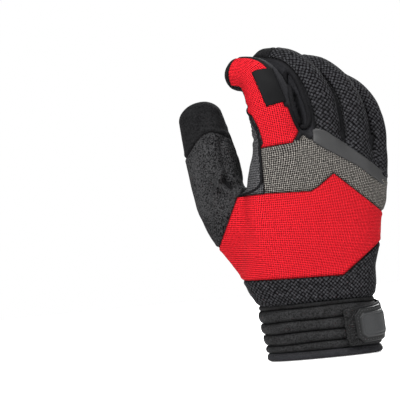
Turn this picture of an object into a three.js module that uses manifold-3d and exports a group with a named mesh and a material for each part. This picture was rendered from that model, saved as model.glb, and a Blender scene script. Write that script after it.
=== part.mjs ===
// Right-hand anti-vibration work glove, in the shape it has on a half-closed hand.
// Millimetres. +Z runs from the wrist opening to the fingertips, the back of the hand faces -Y,
// the palm +Y, the thumb lies at -X. The origin is the centre of the wrist opening.
// Every panel is a sewn wall of its own: it is cut from the same lofts, with a narrow seam gap.
import * as THREE from 'three';
import { mergeVertices } from 'three/addons/utils/BufferGeometryUtils.js';
import Module from 'manifold-3d';

const wasm = await Module();
wasm.setup();

// Driving sizes
const WALL = 2.0; // fabric, foam and lining together
const SEAM = 0.3; // gap between two panels
const OVERLAY = 1.2; // thickness of a patch sewn on top
const CUFF_TOP = 39.4;
const PALM_SIDES = 16;
const FINGER_SIDES = 10;
const ROOM_SIDES = 6; // of the room inside a finger
const STATION_STEP = 22; // between two sections of a finger
const SQUARENESS = 2.35; // exponent of the hand's rounded section, 2 is an ellipse
const CLEAR = 0.5; // a mould stands this far outside the surface that it takes
const CARRY_STEPS = 120;
const TIP_ROUND = 11; // length over which a fingertip closes
const CUFF_SIDES = 18;
const CUFF_WALL = 1.8; // of the cuff in the grooves between its rolls
const EMBOSS = 2.2; // a pad of the palm stands this far above its cover
const STRAP_THICK = 1.6;
const STRAP_HALF = 12; // half the width of the strap
const STRAP_CLEAR = 3.35; // the strap's inside lies this far from the grooves of the cuff

// Rolls of the cuff from the hem upwards: height along the cuff and how far each stands out.
const ROLL_COLUMNS = ['height', 'proud'];
const ROLL_ROWS = [
  [5.8, 2.4],
  [5.6, 2.6],
  [7.8, 2.9],
  [8.0, 2.9],
  [8.6, 2.8],
  [3.2, 1.4],
];

// Ends of the cuff's core: centre, half width and half depth at the opening and at the top.
const CUFF_COLUMNS = ['z', 'x', 'width', 'depth'];
const CUFF_ROWS = [
  [0, -0.7, 37.6, 25.4],
  [CUFF_TOP, -4.0, 38.8, 25.6],
];

// The strap runs round the little finger's side. Angle on the cuff, 0 at the back and 90 at the
// side, and the height of the strap's middle there.
const STRAP_COLUMNS = ['angle', 'middle'];
const STRAP_ROWS = [
  [20, 19.4],
  [60, 20.6],
  [90, 22.4],
  [130, 24.2],
  [185, 24.4],
];
// Sections of the hand, from the cuff to the web of the fingers. z is the height on the hand's
// axis, x and y its centre, width and depth the half sizes, turn the degrees that the section is
// turned about Z, arch how far its middle bows towards the back, and slant the fall of the section
// towards the little finger per millimetre of x.
const HAND_COLUMNS = ['z', 'x', 'y', 'width', 'depth', 'turn', 'arch', 'slant'];
const HAND_ROWS = [
  [39.8, -3.6, 0, 41.2, 26.6, 4, 0, 0],
  [49, -5.2, 0, 44.6, 26.6, 6, 0, 0],
  [60, -6.6, 1, 46.6, 26.0, 8, 1, 0],
  [80, -2.4, 3, 48.0, 24.5, 12, 3, 0.07],
  [100, 0.6, 6, 48.8, 22.0, 17, 5.5, 0.14],
  [120, 4.0, 9.5, 49.8, 18.5, 21, 8, 0.21],
  [138, 8.6, 13, 50.0, 15.0, 24.5, 10, 0.25],
  [148, 9.8, 14.5, 49.5, 12.5, 25, 10, 0.25],
  [154, 10.4, 15, 47.5, 10.0, 25, 10, 0.25],
  [158, 10.6, 15.5, 44.0, 6.0, 25, 10, 0.25],
];

// Joints of each finger from the knuckle to the tip: centre, half width and half depth.
// turn is how far the finger's back is turned about Z at the knuckle, in degrees.
const JOINT_COLUMNS = ['x', 'y', 'z', 'width', 'depth'];
const FINGERS = {
  index: {
    turn: 12,
    joints: [
      [-19.0, -4, 124.0, 15.0, 12.0],
      [-21.5, -1, 172.0, 16.8, 13.2],
      [-30.0, 9, 198.0, 13.8, 12.2],
      [-49.5, 25, 203.4, 11.2, 10.6],
    ],
  },
  middle: {
    turn: 24,
    joints: [
      [10.5, 3, 125.0, 13.2, 12.0],
      [8.6, 7, 174.0, 14.6, 12.6],
      [-6.0, 18, 203.0, 12.6, 11.4],
      [-31.5, 34, 209.6, 10.4, 10.0],
    ],
  },
  ring: {
    turn: 36,
    joints: [
      [31.0, 12, 118.0, 11.5, 11.5],
      [31.5, 19, 168.0, 12.2, 11.4],
      [16.5, 33.5, 197.0, 10.8, 10.4],
      [-9.5, 47, 205.5, 9.8, 9.4],
    ],
  },
  little: {
    turn: 46,
    joints: [
      [42.5, 23, 108.0, 9.5, 10.0],
      [46.8, 33.5, 156.0, 10.8, 10.4],
      [38.0, 44, 180.5, 10.0, 9.8],
      [16.5, 55, 195.5, 9.2, 9.0],
    ],
  },
  thumb: {
    turn: -25,
    joints: [
      [-33.0, 8, 60.0, 17.5, 15.0],
      [-59.5, 19, 104.0, 18.0, 15.5],
      [-67.2, 29, 145.0, 18.9, 14.6],
      [-73.7, 37, 185.4, 15.0, 12.4],
    ],
  },
};

// Seams of the finger panels in degrees round the finger, 0 at the back and 90 on the little
// finger's side: the back panel lies between them, and the gusset up to the palm's seam.
const FINGER_SEAMS = {
  index: { back: [-100, 22], palm: [118, 260] },
  middle: { back: [-33, 62], palm: [118, 242] },
  ring: { back: [-62, 62], palm: [118, 242] },
  little: { back: [-62, 95], palm: [95, 242] },
};
const BACK_SEAM_TO_TIP = 13; // the back panel of a finger ends this far before its tip
const WEB_HEIGHT = { index: 157, middle: 154, ring: 146 }; // crotch after that finger
const FRONT_HEIGHT = { index: 158, middle: 159, ring: 152, little: 146 }; // foot of its front

// Outlines of the panels of the back, seen from the back, x and z.
const RED_OUTLINE = [
  [-51.8, 116.4], [-45, 117.6], [-0.5, 115.7], [5.4, 118.7], [16.7, 126.7], [49.5, 96.6],
  [70, 90], [70, 74], [46.5, 77], [16.2, 55.8], [-55.3, 57.7], [-80, 57.7], [-80, 64],
  [-68.5, 81.4],
];
const GREY_OUTLINE = [
  [-33, 116], [-33, 148.6], [-30.4, 148.8], [-9.9, 150.4], [-4.2, 158.3], [4.8, 158],
  [5.6, 154.5], [53, 119.5], [70, 112], [70, 88], [49.5, 94], [16.7, 120], [0, 110], [-33, 110],
];
const THUMB_OUTLINE = [
  [-75, 67], [-68.5, 81.4], [-51.8, 116.4], [-45.5, 121], [-43.5, 130], [-44, 150], [-48, 189],
  [-110, 192], [-110, 66],
];
const WEB_STRIP_OUTLINE = [
  [-51.5, 116.8], [-33.3, 116.8], [-33.3, 148.6], [-31, 152], [-33, 162], [-37, 172], [-46, 172],
  [-43.5, 130], [-45.5, 121.2],
];
const STRIP_OUTLINE = [
  [3.9, 149.6], [4.4, 158], [7.2, 159.2], [13.8, 156.8], [34, 140.4], [53.7, 123.8], [62, 117],
  [62, 106.7], [51.5, 114.8], [32.8, 130.4], [9.9, 145],
];
const FLEX_PATCH_OUTLINE = [
  [-26, 176.5], [-34, 201.9], [-29, 203.6], [-18.8, 204], [-11.6, 179.4],
];
const PAD_OUTLINE = [
  [43.5, 139], [-17.5, 145.5], [-23.6, 141.5], [-26.0, 136.0], [-25.8, 119.0], [-30.0, 113.4],
  [-41.0, 109.0], [-47.5, 104.6], [-50.5, 96.7], [-51.0, 83.0], [-49.0, 72.0], [-45.5, 67.0],
  [-12.6, 57.0], [14.9, 50.8], [22.0, 50.4], [25.2, 53.6], [27.0, 61.0], [33.6, 85.0], [39.8, 112.6],
];

// Foam pads that stand out of the palm cover.
const PAD_PIECES = {
  knuckle: [[20.5, 137.5], [-18, 141.6], [-21.5, 137], [-21, 117.5], [-12, 117.5], [6, 113.2], [19, 113.6]],
  heel: [[24, 108.5], [8.5, 110.2], [-4.2, 109.6], [-6.4, 92], [-7.5, 70], [10, 63.5], [20, 62.5], [23.2, 78], [25.6, 92]],
  thumb: [[-9.5, 108.8], [-22, 112.6], [-30, 110.6], [-42.5, 104.5], [-46, 96], [-46.6, 82], [-44.8, 71.5], [-12.5, 66.6], [-10.6, 90]],
};

// The slit of the cuff and the bound vent above it, on the palm next to the little finger's side.
const SLIT_OUTLINE = [[32.2, 46], [31.2, 12], [28.5, 3], [24, -1], [38, -1], [35.4, 3], [34.2, 12], [34.6, 46]];
const VENT_OUTLINE = [
  [33.2, 43.5], [30.6, 49], [29.8, 54], [31, 58.6], [33.6, 60.6], [36.2, 58.8], [37.2, 54],
  [36.2, 48],
];

// Fingertip patches: arc lengths before the tip and angles round the finger.
const GRIP_COLUMNS = ['name', 'from', 'to', 'low', 'high'];
const GRIP_ROWS = [
  ['index', 26, 3, 144, 216],
  ['middle', 26, 3, 144, 216],
  ['ring', 26, 3, 144, 216],
  ['little', 28, 3, 144, 216],
];

// Rows as objects with the names of their columns.
const named = (columns, rows) =>
  rows.map((row) => Object.fromEntries(columns.map((name, i) => [name, row[i]])));

// Closed solid from its corners and triangles, turned the right way out.
function closedSolid(corners, triangles) {
  const build = (faces) => {
    const geometry = new THREE.BufferGeometry().setFromPoints(corners);
    geometry.setIndex(faces.flat());
    const merged = mergeVertices(geometry, 1e-4);
    return new wasm.Manifold(
      new wasm.Mesh({
        numProp: 3,
        vertProperties: merged.attributes.position.array,
        triVerts: new Uint32Array(merged.index.array),
      }),
    );
  };
  const made = build(triangles);
  return made.volume() < 0 ? build(triangles.map(([a, b, c]) => [a, c, b])) : made;
}

// Skin through rings of points; both ends are filled with the triangles of the ring's numbering,
// which come from the flat outlines of the first and last ring unless they are given.
function loft(rings, outlines, strip = null) {
  const count = rings[0].length;
  const triangles = [];
  for (let i = 0; i < rings.length - 1; i++)
    for (let j = 0; j < count; j++) {
      const a = i * count + j;
      const b = i * count + ((j + 1) % count);
      triangles.push([a, b, b + count], [a, b + count, a + count]);
    }
  const last = (rings.length - 1) * count;
  const fill = (outline) => strip ?? THREE.ShapeUtils.triangulateShape(outline, []);
  for (const [a, b, c] of fill(outlines[0])) triangles.push([a, c, b]);
  for (const [a, b, c] of fill(outlines[outlines.length - 1]))
    triangles.push([last + a, last + b, last + c]);
  return closedSolid(rings.flat(), triangles);
}

const radians = THREE.MathUtils.degToRad;
const rounded = (value, power) => Math.sign(value) * Math.abs(value) ** power;

// A section is a frame with a centre, an across and an inward (palm) direction, and half sizes.
// Its points are given by the angle round it: 0 at the back, 90 on the little finger's side.
function sectionPoint(section, degrees, grow) {
  const angle = radians(degrees);
  const power = 2 / section.squareness;
  const u = (section.width + grow) * rounded(Math.sin(angle), power);
  const bow = section.arch * Math.max(0, 1 - (u / section.width) ** 2);
  return new THREE.Vector2(u, -(section.depth + grow) * rounded(Math.cos(angle), power) - bow);
}

function placed(section, flat) {
  const point = section.centre
    .clone()
    .addScaledVector(section.across, flat.x)
    .addScaledVector(section.inward, flat.y);
  point.z -= section.slant * point.x;
  return point;
}

// Sector of a tube from its middle out to its surface, between two angles; a full turn is the tube.
// Its corners lie at the same angles for every sector of the same tube.
function sector(sections, from, to, grow = 0, sides = FINGER_SIDES) {
  const whole = to - from >= 360;
  const step = 360 / sides;
  const outlines = sections.map((section) => {
    const spread = whole ? 0 : THREE.MathUtils.radToDeg((grow - CLEAR) / section.width);
    const angles = whole ? [] : [from - spread];
    for (let i = Math.ceil(from / step); i * step < to - (whole ? 0.01 : 0); i++)
      if (whole || (i * step > from + 4 && i * step < to - 4)) angles.push(i * step);
    if (!whole) angles.push(to + spread);
    const points = angles.map((angle) => sectionPoint(section, angle, grow));
    return whole ? points : [new THREE.Vector2(0, 0), ...points];
  });
  const rings = sections.map((section, i) => outlines[i].map((flat) => placed(section, flat)));
  return loft(rings, outlines);
}

// Everything on one side of the hand's bowed middle: side -1 is the back, 1 the palm.
function halfSpace(sections, side, grow) {
  const spans = [-1.6, -1, -0.5, 0, 0.5, 1, 1.6];
  const outlines = sections.map((section) => {
    const middle = spans.map((share) => {
      const bow = section.arch * Math.max(0, 1 - share ** 2);
      return new THREE.Vector2(share * section.width, -bow - side * grow);
    });
    const far = spans.map((share) => new THREE.Vector2(share * section.width, 70 * side));
    return [...middle, ...far.reverse()];
  });
  const strip = spans.slice(1).flatMap((_, i) => {
    const back = 2 * spans.length - 1 - i;
    return [[i, i + 1, back], [i + 1, back - 1, back]];
  });
  const rings = sections.map((section, i) => outlines[i].map((flat) => placed(section, flat)));
  return loft(rings, outlines, strip);
}

// Hand sections at every row, grown or shrunk by the same amount all round.
const handSections = named(HAND_COLUMNS, HAND_ROWS).map((row) => ({
  centre: new THREE.Vector3(row.x, row.y, row.z),
  across: new THREE.Vector3(Math.cos(radians(row.turn)), Math.sin(radians(row.turn)), 0),
  inward: new THREE.Vector3(-Math.sin(radians(row.turn)), Math.cos(radians(row.turn)), 0),
  width: row.width,
  depth: row.depth,
  arch: row.arch,
  slant: row.slant,
  squareness: SQUARENESS,
}));

// A finger's line with its sections by arc length.
function fingerLine(finger) {
  const joints = named(JOINT_COLUMNS, finger.joints);
  const line = new THREE.CatmullRomCurve3(
    joints.map(({ x, y, z }) => new THREE.Vector3(x, y, z)), false, 'catmullrom', 0.5);
  line.arcLengthDivisions = 400;
  // The direction across the finger is carried along the line without twisting about it.
  const carried = [
    new THREE.Vector3(Math.cos(radians(finger.turn)), Math.sin(radians(finger.turn)), 0)];
  for (let i = 0; i <= CARRY_STEPS; i++) {
    const tangent = line.getTangent(i / CARRY_STEPS);
    const last = carried[carried.length - 1].clone();
    carried.push(last.addScaledVector(tangent, -last.dot(tangent)).normalize());
  }
  return { joints, line, length: line.getLength(), carried: carried.slice(1) };
}

// Sections along a finger; its tip is closed by a quarter round.
function fingerSections({ joints, line, length, carried }, shorter = 0) {
  const tip = length - shorter;
  const steps = Math.round((tip - TIP_ROUND - BACK_SEAM_TO_TIP) / STATION_STEP);
  const stations = [tip - TIP_ROUND - 2];
  for (let i = steps - 1; i >= 0; i--) stations.unshift(((tip - TIP_ROUND - 2) * i) / steps);
  for (const along of [0, 0.42, 0.76, 0.97]) stations.push(tip - TIP_ROUND * (1 - along));
  return stations.map((at) => {
    const t = line.getUtoTmapping(Math.min(at / length, 1));
    const share = t * (joints.length - 1);
    const index = Math.min(Math.floor(share), joints.length - 2);
    const size = (name) =>
      THREE.MathUtils.lerp(joints[index][name], joints[index + 1][name], share - index);
    const closing = Math.max(0, 1 - (tip - at) / TIP_ROUND);
    const round = Math.sqrt(1 - Math.min(closing, 0.97) ** 2);
    const tangent = line.getTangent(t);
    const across = carried[Math.round(t * CARRY_STEPS)];
    const inward = new THREE.Vector3().crossVectors(tangent, across).normalize();
    return {
      at,
      centre: line.getPoint(t),
      across: new THREE.Vector3().crossVectors(inward, tangent).normalize(),
      inward,
      width: size('width') * round,
      depth: size('depth') * round,
      arch: 0,
      slant: 0,
      squareness: 2.15,
      round,
    };
  });
}

// Arc length at which a finger first reaches a height.
function lengthAt({ line, length }, z) {
  for (let at = 0; at < length; at += 0.5)
    if (line.getPointAt(at / length).z >= z) return at;
  return length;
}

const thinner = (sections, wall) =>
  sections.map((section) => ({
    ...section,
    width: Math.max(section.width - wall * (section.round ?? 1), 1),
    depth: Math.max(section.depth - wall * (section.round ?? 1), 1),
  }));

// Prism through the whole depth of the glove over an outline seen from the back.
function prism(outline, grow = 0, low = -90, high = 90) {
  const corners = outline.map(([x, z]) => new THREE.Vector2(x, z));
  if (THREE.ShapeUtils.area(corners) < 0) corners.reverse();
  const moved = corners.map((corner, i) => {
    const before = corners[(i + corners.length - 1) % corners.length];
    const after = corners[(i + 1) % corners.length];
    const one = corner.clone().sub(before).normalize();
    const two = after.clone().sub(corner).normalize();
    const out = new THREE.Vector2(one.y + two.y, -one.x - two.x).normalize();
    const mitre = Math.max(out.x * one.y - out.y * one.x, 0.4);
    return corner.clone().addScaledVector(out, grow / mitre);
  });
  const ring = (y) => moved.map(({ x, y: z }) => new THREE.Vector3(x, y, z));
  return loft([ring(low), ring(high)], [moved, moved]);
}

const union = (solids) => solids.reduce((sum, next) => sum.add(next));
const fingerNames = ['index', 'middle', 'ring', 'little'];
// The skin of the hand between thumb and index, as a short bar across.
const WEB_BAR = {
  turn: 0,
  from: new THREE.Vector3(-30, 4, 104),
  to: new THREE.Vector3(-56, 16, 103),
  width: 19,
  depth: 11,
};
function webBar(wall) {
  const along = WEB_BAR.to.clone().sub(WEB_BAR.from).normalize();
  const across = new THREE.Vector3(0, 0, 1).addScaledVector(along, -along.z).normalize();
  const inward = new THREE.Vector3().crossVectors(along, across);
  return [WEB_BAR.from, WEB_BAR.to].map((centre) => ({
    centre, across, inward, width: WEB_BAR.width - wall, depth: WEB_BAR.depth - wall,
    arch: 0, slant: 0, squareness: 2,
  }));
}

const lines = Object.fromEntries(
  Object.entries(FINGERS).map(([name, finger]) => [name, fingerLine(finger)]));
const tube = Object.fromEntries(
  Object.entries(lines).map(([name, line]) => [name, fingerSections(line)]));

// The room for the hand: palm, fingers and thumb together.
const cavitySections = [
  ...thinner(handSections.slice(0, 1), WALL).map((section) => ({
    ...section, centre: section.centre.clone().setZ(CUFF_TOP - 6),
  })),
  ...thinner(handSections.slice(0, -2), WALL),
  ...thinner(handSections.slice(-2), WALL).map((section) => ({
    ...section, centre: section.centre.clone().setZ(section.centre.z - WALL),
  })),
];
const cavity = union([
  sector(cavitySections, 0, 360, 0, 12),
  ...Object.values(lines).map((line) =>
    sector(thinner(fingerSections(line, WALL), WALL), 0, 360, 0, ROOM_SIDES)),
  sector(webBar(WALL), 0, 360, 0, ROOM_SIDES),
]);

const hand = sector(handSections, 0, 360, 0, PALM_SIDES);
const outside = union([
  hand, sector(webBar(0), 0, 360),
  ...Object.values(tube).map((sections) => sector(sections, 0, 360)),
]);
const shell = outside.subtract(cavity);

// The shell is cut into its sewn panels by moulds, one after the other, each clear of those before.
const panels = new Map();
let taken = null;
let rest = shell;
function panel(name, mould) {
  const made = (taken ? shell.intersect(mould(0)).subtract(taken) : shell.intersect(mould(0)));
  keepLargest(name, made);
  const used = mould(SEAM);
  taken = taken ? taken.add(used) : used;
  rest = rest.subtract(used);
}

function keepLargest(name, made) {
  panels.set(name, made.decompose().sort((a, b) => b.volume() - a.volume())[0]);
}

const wedge = (sections, from, to, grow) => {
  const ends = sections.slice();
  const shift = (section, other, by) => ({
    ...section,
    centre: section.centre.clone()
      .addScaledVector(section.centre.clone().sub(other.centre).normalize(), by),
  });
  if (grow > 0) {
    ends[0] = shift(sections[0], sections[1], grow);
    ends[ends.length - 1] = shift(sections[ends.length - 1], sections[ends.length - 2], grow);
  }
  return sector(ends, from, to, grow + CLEAR);
};
const stretch = (name, low, high = Infinity) => {
  const first = Math.max(0, tube[name].findIndex(({ at }) => at > low) - 1);
  return tube[name].slice(first).filter(({ at }) => at <= high);
};
const beyond = (name, before) => stretch(name, lines[name].length - before);
const untilTip = (name) => stretch(name, 0, lines[name].length - BACK_SEAM_TO_TIP);
const above = (name, z, before = BACK_SEAM_TO_TIP) =>
  stretch(name, lengthAt(lines[name], z), lines[name].length - before);
const back = (grow) => halfSpace(handSections, -1, grow);
// The back with the back half of the thumb's base
const wholeBack = (grow) => union([back(grow), wedge(tube.thumb, -92, 92, grow)]);

// Thumb
panel('thumb_tip_cap', (grow) =>
  wedge(beyond('thumb', 22), 0, 360, grow));
panel('thumb_panel', (grow) =>
  wedge(tube.thumb, 0, 360, grow).intersect(prism(THUMB_OUTLINE, grow)));

// Gussets between the fingers, each one piece over the web
for (const [i, name] of fingerNames.slice(0, -1).entries()) {
  const next = fingerNames[i + 1];
  const z = WEB_HEIGHT[name];
  const [here, there] = [above(name, z)[0].centre, above(next, z)[0].centre];
  const middle = here.clone().add(there).multiplyScalar(0.5);
  const reach = here.distanceTo(there) * 0.42;
  const turn = radians((FINGERS[name].turn + FINGERS[next].turn) / 2);
  panel(`${name}_${next}_gusset`, (grow) =>
    union([
      wedge(above(name, z - 6), FINGER_SEAMS[name].back[1], FINGER_SEAMS[name].palm[0], grow),
      wedge(above(next, z - 6), FINGER_SEAMS[next].palm[1] - 360, FINGER_SEAMS[next].back[0], grow),
      block([2 * (reach + grow), 15 + 2 * grow, 13 + 2 * grow], middle.clone().setZ(z - 1.5), turn),
    ]));
}

// Box from its sizes, centre and turn about Z
function block([x, y, z], centre, turn = 0) {
  const geometry = new THREE.BoxGeometry(x, y, z);
  geometry.deleteAttribute('normal');
  geometry.deleteAttribute('uv');
  geometry.rotateZ(turn).translate(centre.x, centre.y, centre.z);
  const merged = mergeVertices(geometry, 1e-4);
  return new wasm.Manifold(
    new wasm.Mesh({
      numProp: 3,
      vertProperties: new Float32Array(merged.attributes.position.array),
      triVerts: new Uint32Array(merged.index.array),
    }),
  );
}

// Back of the hand
panel('web_strip', (grow) => prism(WEB_STRIP_OUTLINE, grow, -60, 14 + grow));
panel('red_back_panel', (grow) => wholeBack(grow).intersect(prism(RED_OUTLINE, grow)));
panel('grey_knuckle_panel', (grow) => prism(GREY_OUTLINE, grow, -60, 60).intersect(back(grow)));
panel('index_back_panel', (grow) =>
  wedge(untilTip('index'), ...FINGER_SEAMS.index.back, grow));
panel('finger_back_panel', (grow) =>
  union([
    back(grow).intersect(
      prism([[2, 200], [2, 150], [16.7, 121], [49.5, 90], [75, 80], [75, 200]], grow)),
    ...['middle', 'ring', 'little'].map((name) =>
      wedge(untilTip(name), ...FINGER_SEAMS[name].back, grow)),
  ]));
panel('lower_back_panel', (grow) =>
  back(grow).intersect(
    prism([[-90, 30], [90, 30], [90, 90], [46, 90], [16, 70], [-90, 70]], grow)));

// Fronts of the fingers with their tips, joined to the palm by a seam at the foot of each finger
for (const name of fingerNames)
  panel(`${name}_front_panel`, (grow) => wedge(above(name, FRONT_HEIGHT[name], 0), 0, 360, grow));

// What is left is the palm
keepLargest('palm_panel', rest);

// Patches sewn on top: a slice of the space just outside the panels.
const raised = (grow) =>
  union([
    sector(handSections, 0, 360, grow, PALM_SIDES),
    sector(webBar(-grow), 0, 360),
    ...Object.values(tube).map((sections) => sector(sections, 0, 360, grow)),
  ]);
const base = raised(SEAM);
const skin = raised(SEAM + OVERLAY).subtract(base);
const overlay = (name, mould, space = skin) => keepLargest(name, space.intersect(mould));

overlay('knuckle_strip', prism(STRIP_OUTLINE).intersect(back(0)));
overlay('index_knuckle_patch',
  prism(FLEX_PATCH_OUTLINE).intersect(sector(tube.index, -70, 80, 3)));
for (const row of named(GRIP_COLUMNS, GRIP_ROWS)) {
  const end = lines[row.name].length;
  const slice = stretch(row.name, end - row.from, end - row.to);
  keepLargest(`${row.name}_grip_patch`,
    sector(slice, row.low, row.high, SEAM + OVERLAY).subtract(sector(tube[row.name], 0, 360, SEAM)));
}
overlay('thumb_grip_patch',
  sector(tube.thumb, 104, 152, 3).intersect(prism([[-90, 123], [-30, 123], [-30, 146], [-90, 146]])));

const palmSide = halfSpace(handSections, 1, 0);
const foam = union([
  sector(handSections, 0, 360, SEAM + OVERLAY + EMBOSS, PALM_SIDES),
  sector(tube.thumb, 0, 360, SEAM + OVERLAY + EMBOSS),
]).subtract(base);
const vent = prism(VENT_OUTLINE, 2.6, 8, 60);
keepLargest('palm_pad', union([
  skin.intersect(prism(PAD_OUTLINE)),
  ...Object.values(PAD_PIECES).map((outline) => foam.intersect(prism(outline))),
]).intersect(palmSide).subtract(prism(VENT_OUTLINE, 3, 8, 60)));
overlay('vent_binding', vent.subtract(prism(VENT_OUTLINE, 0, 7, 61)).intersect(palmSide));
const opened = panels.get('palm_panel').subtract(prism(VENT_OUTLINE, 0, 8, 60));
keepLargest('palm_panel', opened.subtract(prism(SLIT_OUTLINE, 0, 8, 60)));

// Cuff
const cuffEnds = named(CUFF_COLUMNS, CUFF_ROWS);
function cuffSection(z) {
  const share = z / CUFF_TOP;
  const size = (name) => THREE.MathUtils.lerp(cuffEnds[0][name], cuffEnds[1][name], share);
  return {
    centre: new THREE.Vector3(size('x'), 0, z),
    across: new THREE.Vector3(1, 0, 0),
    inward: new THREE.Vector3(0, 1, 0),
    width: size('width'),
    depth: size('depth'),
    arch: 0,
    slant: 0,
    squareness: 2.2,
  };
}
const wider = (section, by) => ({
  ...section, width: section.width + by, depth: section.depth + by,
});
const cuffCore = sector([-1, CUFF_TOP + 1].map((z) => wider(cuffSection(z), -CUFF_WALL)), 0, 360, 0, 14);
const slit = prism(SLIT_OUTLINE, 0, 8, 60);
function rolls(rows, bottom) {
  const rings = [];
  let z = bottom;
  for (const { height, proud } of rows) {
    for (const [share, out] of [[0.04, 0], [0.28, 1], [0.72, 1], [0.96, 0]])
      rings.push(wider(cuffSection(z + height * share), proud * out));
    z += height;
  }
  rings[0].centre.z = bottom;
  rings[rings.length - 1].centre.z = z;
  return sector(rings, 0, 360, 0, CUFF_SIDES).subtract(cuffCore).subtract(slit);
}
const rollRows = named(ROLL_COLUMNS, ROLL_ROWS);
keepLargest('cuff_hem', rolls(rollRows.slice(0, 1), 0));
keepLargest('cuff_rolls', rolls(rollRows.slice(1), rollRows[0].height + SEAM));

// Closed sheet between two distances from a surface; place gives the point at (u, v, distance).
function sheet(place, columns, rows, inner, outer) {
  const corners = [];
  const count = columns + 1;
  for (const side of [inner, outer])
    for (let j = 0; j <= rows; j++)
      for (let i = 0; i <= columns; i++) {
        const [u, v] = [i / columns, j / rows];
        corners.push(place(u, v, typeof side === 'function' ? side(u, v) : side));
      }
  const low = (i, j) => j * count + i;
  const high = (i, j) => low(i, j) + count * (rows + 1);
  const triangles = [];
  const quad = (a, b, c, d) => triangles.push([a, b, c], [a, c, d]);
  for (let j = 0; j < rows; j++)
    for (let i = 0; i < columns; i++) {
      quad(low(i, j), low(i, j + 1), low(i + 1, j + 1), low(i + 1, j));
      quad(high(i, j), high(i + 1, j), high(i + 1, j + 1), high(i, j + 1));
    }
  for (let i = 0; i < columns; i++) {
    quad(low(i, 0), low(i + 1, 0), high(i + 1, 0), high(i, 0));
    quad(low(i + 1, rows), low(i, rows), high(i, rows), high(i + 1, rows));
  }
  for (let j = 0; j < rows; j++) {
    quad(low(0, j + 1), low(0, j), high(0, j), high(0, j + 1));
    quad(low(columns, j), low(columns, j + 1), high(columns, j + 1), high(columns, j));
  }
  return closedSolid(corners, triangles);
}

// Point on the strap's run by angle, share of its half width and distance above the rolls.
const strapRows = named(STRAP_COLUMNS, STRAP_ROWS);
function strapPoint(angle, share, distance) {
  const index = Math.max(1, strapRows.findIndex((row) => row.angle >= angle));
  const [one, two] = [strapRows[index - 1], strapRows[index]];
  const along = (angle - one.angle) / (two.angle - one.angle);
  const z = THREE.MathUtils.lerp(one.middle, two.middle, along) + share * STRAP_HALF;
  const section = cuffSection(z);
  return placed(section, sectionPoint(section, angle, STRAP_CLEAR + distance));
}
const strapStep = (from, to) => Math.ceil((to - from) / 8);
const palmEnd = (v) => 180 - 22 * v; // the palm end of the strap is cut on the slant
const strapSheet = (from, to, half, inner, outer, rows = 3) =>
  sheet((u, v, distance) => {
    const last = typeof to === 'function' ? to(v) : to;
    return strapPoint(from + (last - from) * u, half(u) * (2 * v - 1), distance);
  }, strapStep(from, typeof to === 'function' ? to(0) : to), rows, inner, outer);
keepLargest('wrist_strap', strapSheet(34, palmEnd, () => 1, 0, STRAP_THICK));
keepLargest('strap_hook_end', strapSheet(21, 33.4, () => 0.96, 0, STRAP_THICK));
const hexagon = (u) => Math.min(1, 0.62 + 2.6 * Math.min(u, 1 - u)) * 0.86;
keepLargest('strap_tab_back',
  strapSheet(30, 81, hexagon, STRAP_THICK + SEAM + 0.1, STRAP_THICK + SEAM + 1.6, 1));
const ridges = [0.04, 0.16];
const tabHeight = (u) =>
  STRAP_THICK + SEAM + 0.8 + (ridges.some((at) => Math.abs(u - at) < 0.034) || u > 0.26 ? 1.1 : 0);
keepLargest('strap_tab_palm', sheet((u, v, distance) =>
  strapPoint(96 + (palmEnd(v) - 5 - 96) * u, 0.84 * (2 * v - 1), distance),
  12, 3, STRAP_THICK + SEAM + 0.1, tabHeight));

// Pull loop: webbing sewn flat to the palm of the cuff, folded at the hem and back up.
const LOOP_AT = { x: -18, half: 7.5, top: 38, bottom: 1.6, end: 19, thick: 1.1, fold: 1.3 };
function loopPoint(u, v, distance) {
  const { top, bottom, end, fold, half, x } = LOOP_AT;
  const down = top - bottom - fold;
  const around = Math.PI * fold;
  const run = (down + around + end - bottom - fold) * v;
  const offset = distance - LOOP_AT.thick / 2;
  let z = top - run;
  let out = fold - fold + offset * -1;
  if (run > down + around) {
    z = bottom + fold + (run - down - around);
    out = 2 * fold + offset;
  } else if (run > down) {
    const turn = (run - down) / fold;
    z = bottom + fold - Math.sin(turn) * (fold + offset);
    out = fold - Math.cos(turn) * (fold + offset);
  }
  const across = x + half * (2 * u - 1);
  const section = wider(cuffSection(Math.max(z, 0)), STRAP_CLEAR + LOOP_AT.thick / 2);
  const reach = (across - section.centre.x) / section.width;
  const y = section.depth * (1 - Math.abs(reach) ** 2.2) ** (1 / 2.2);
  return new THREE.Vector3(across, y + out, z);
}
keepLargest('pull_loop', sheet(loopPoint, 2, 22, 0, LOOP_AT.thick));

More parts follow.
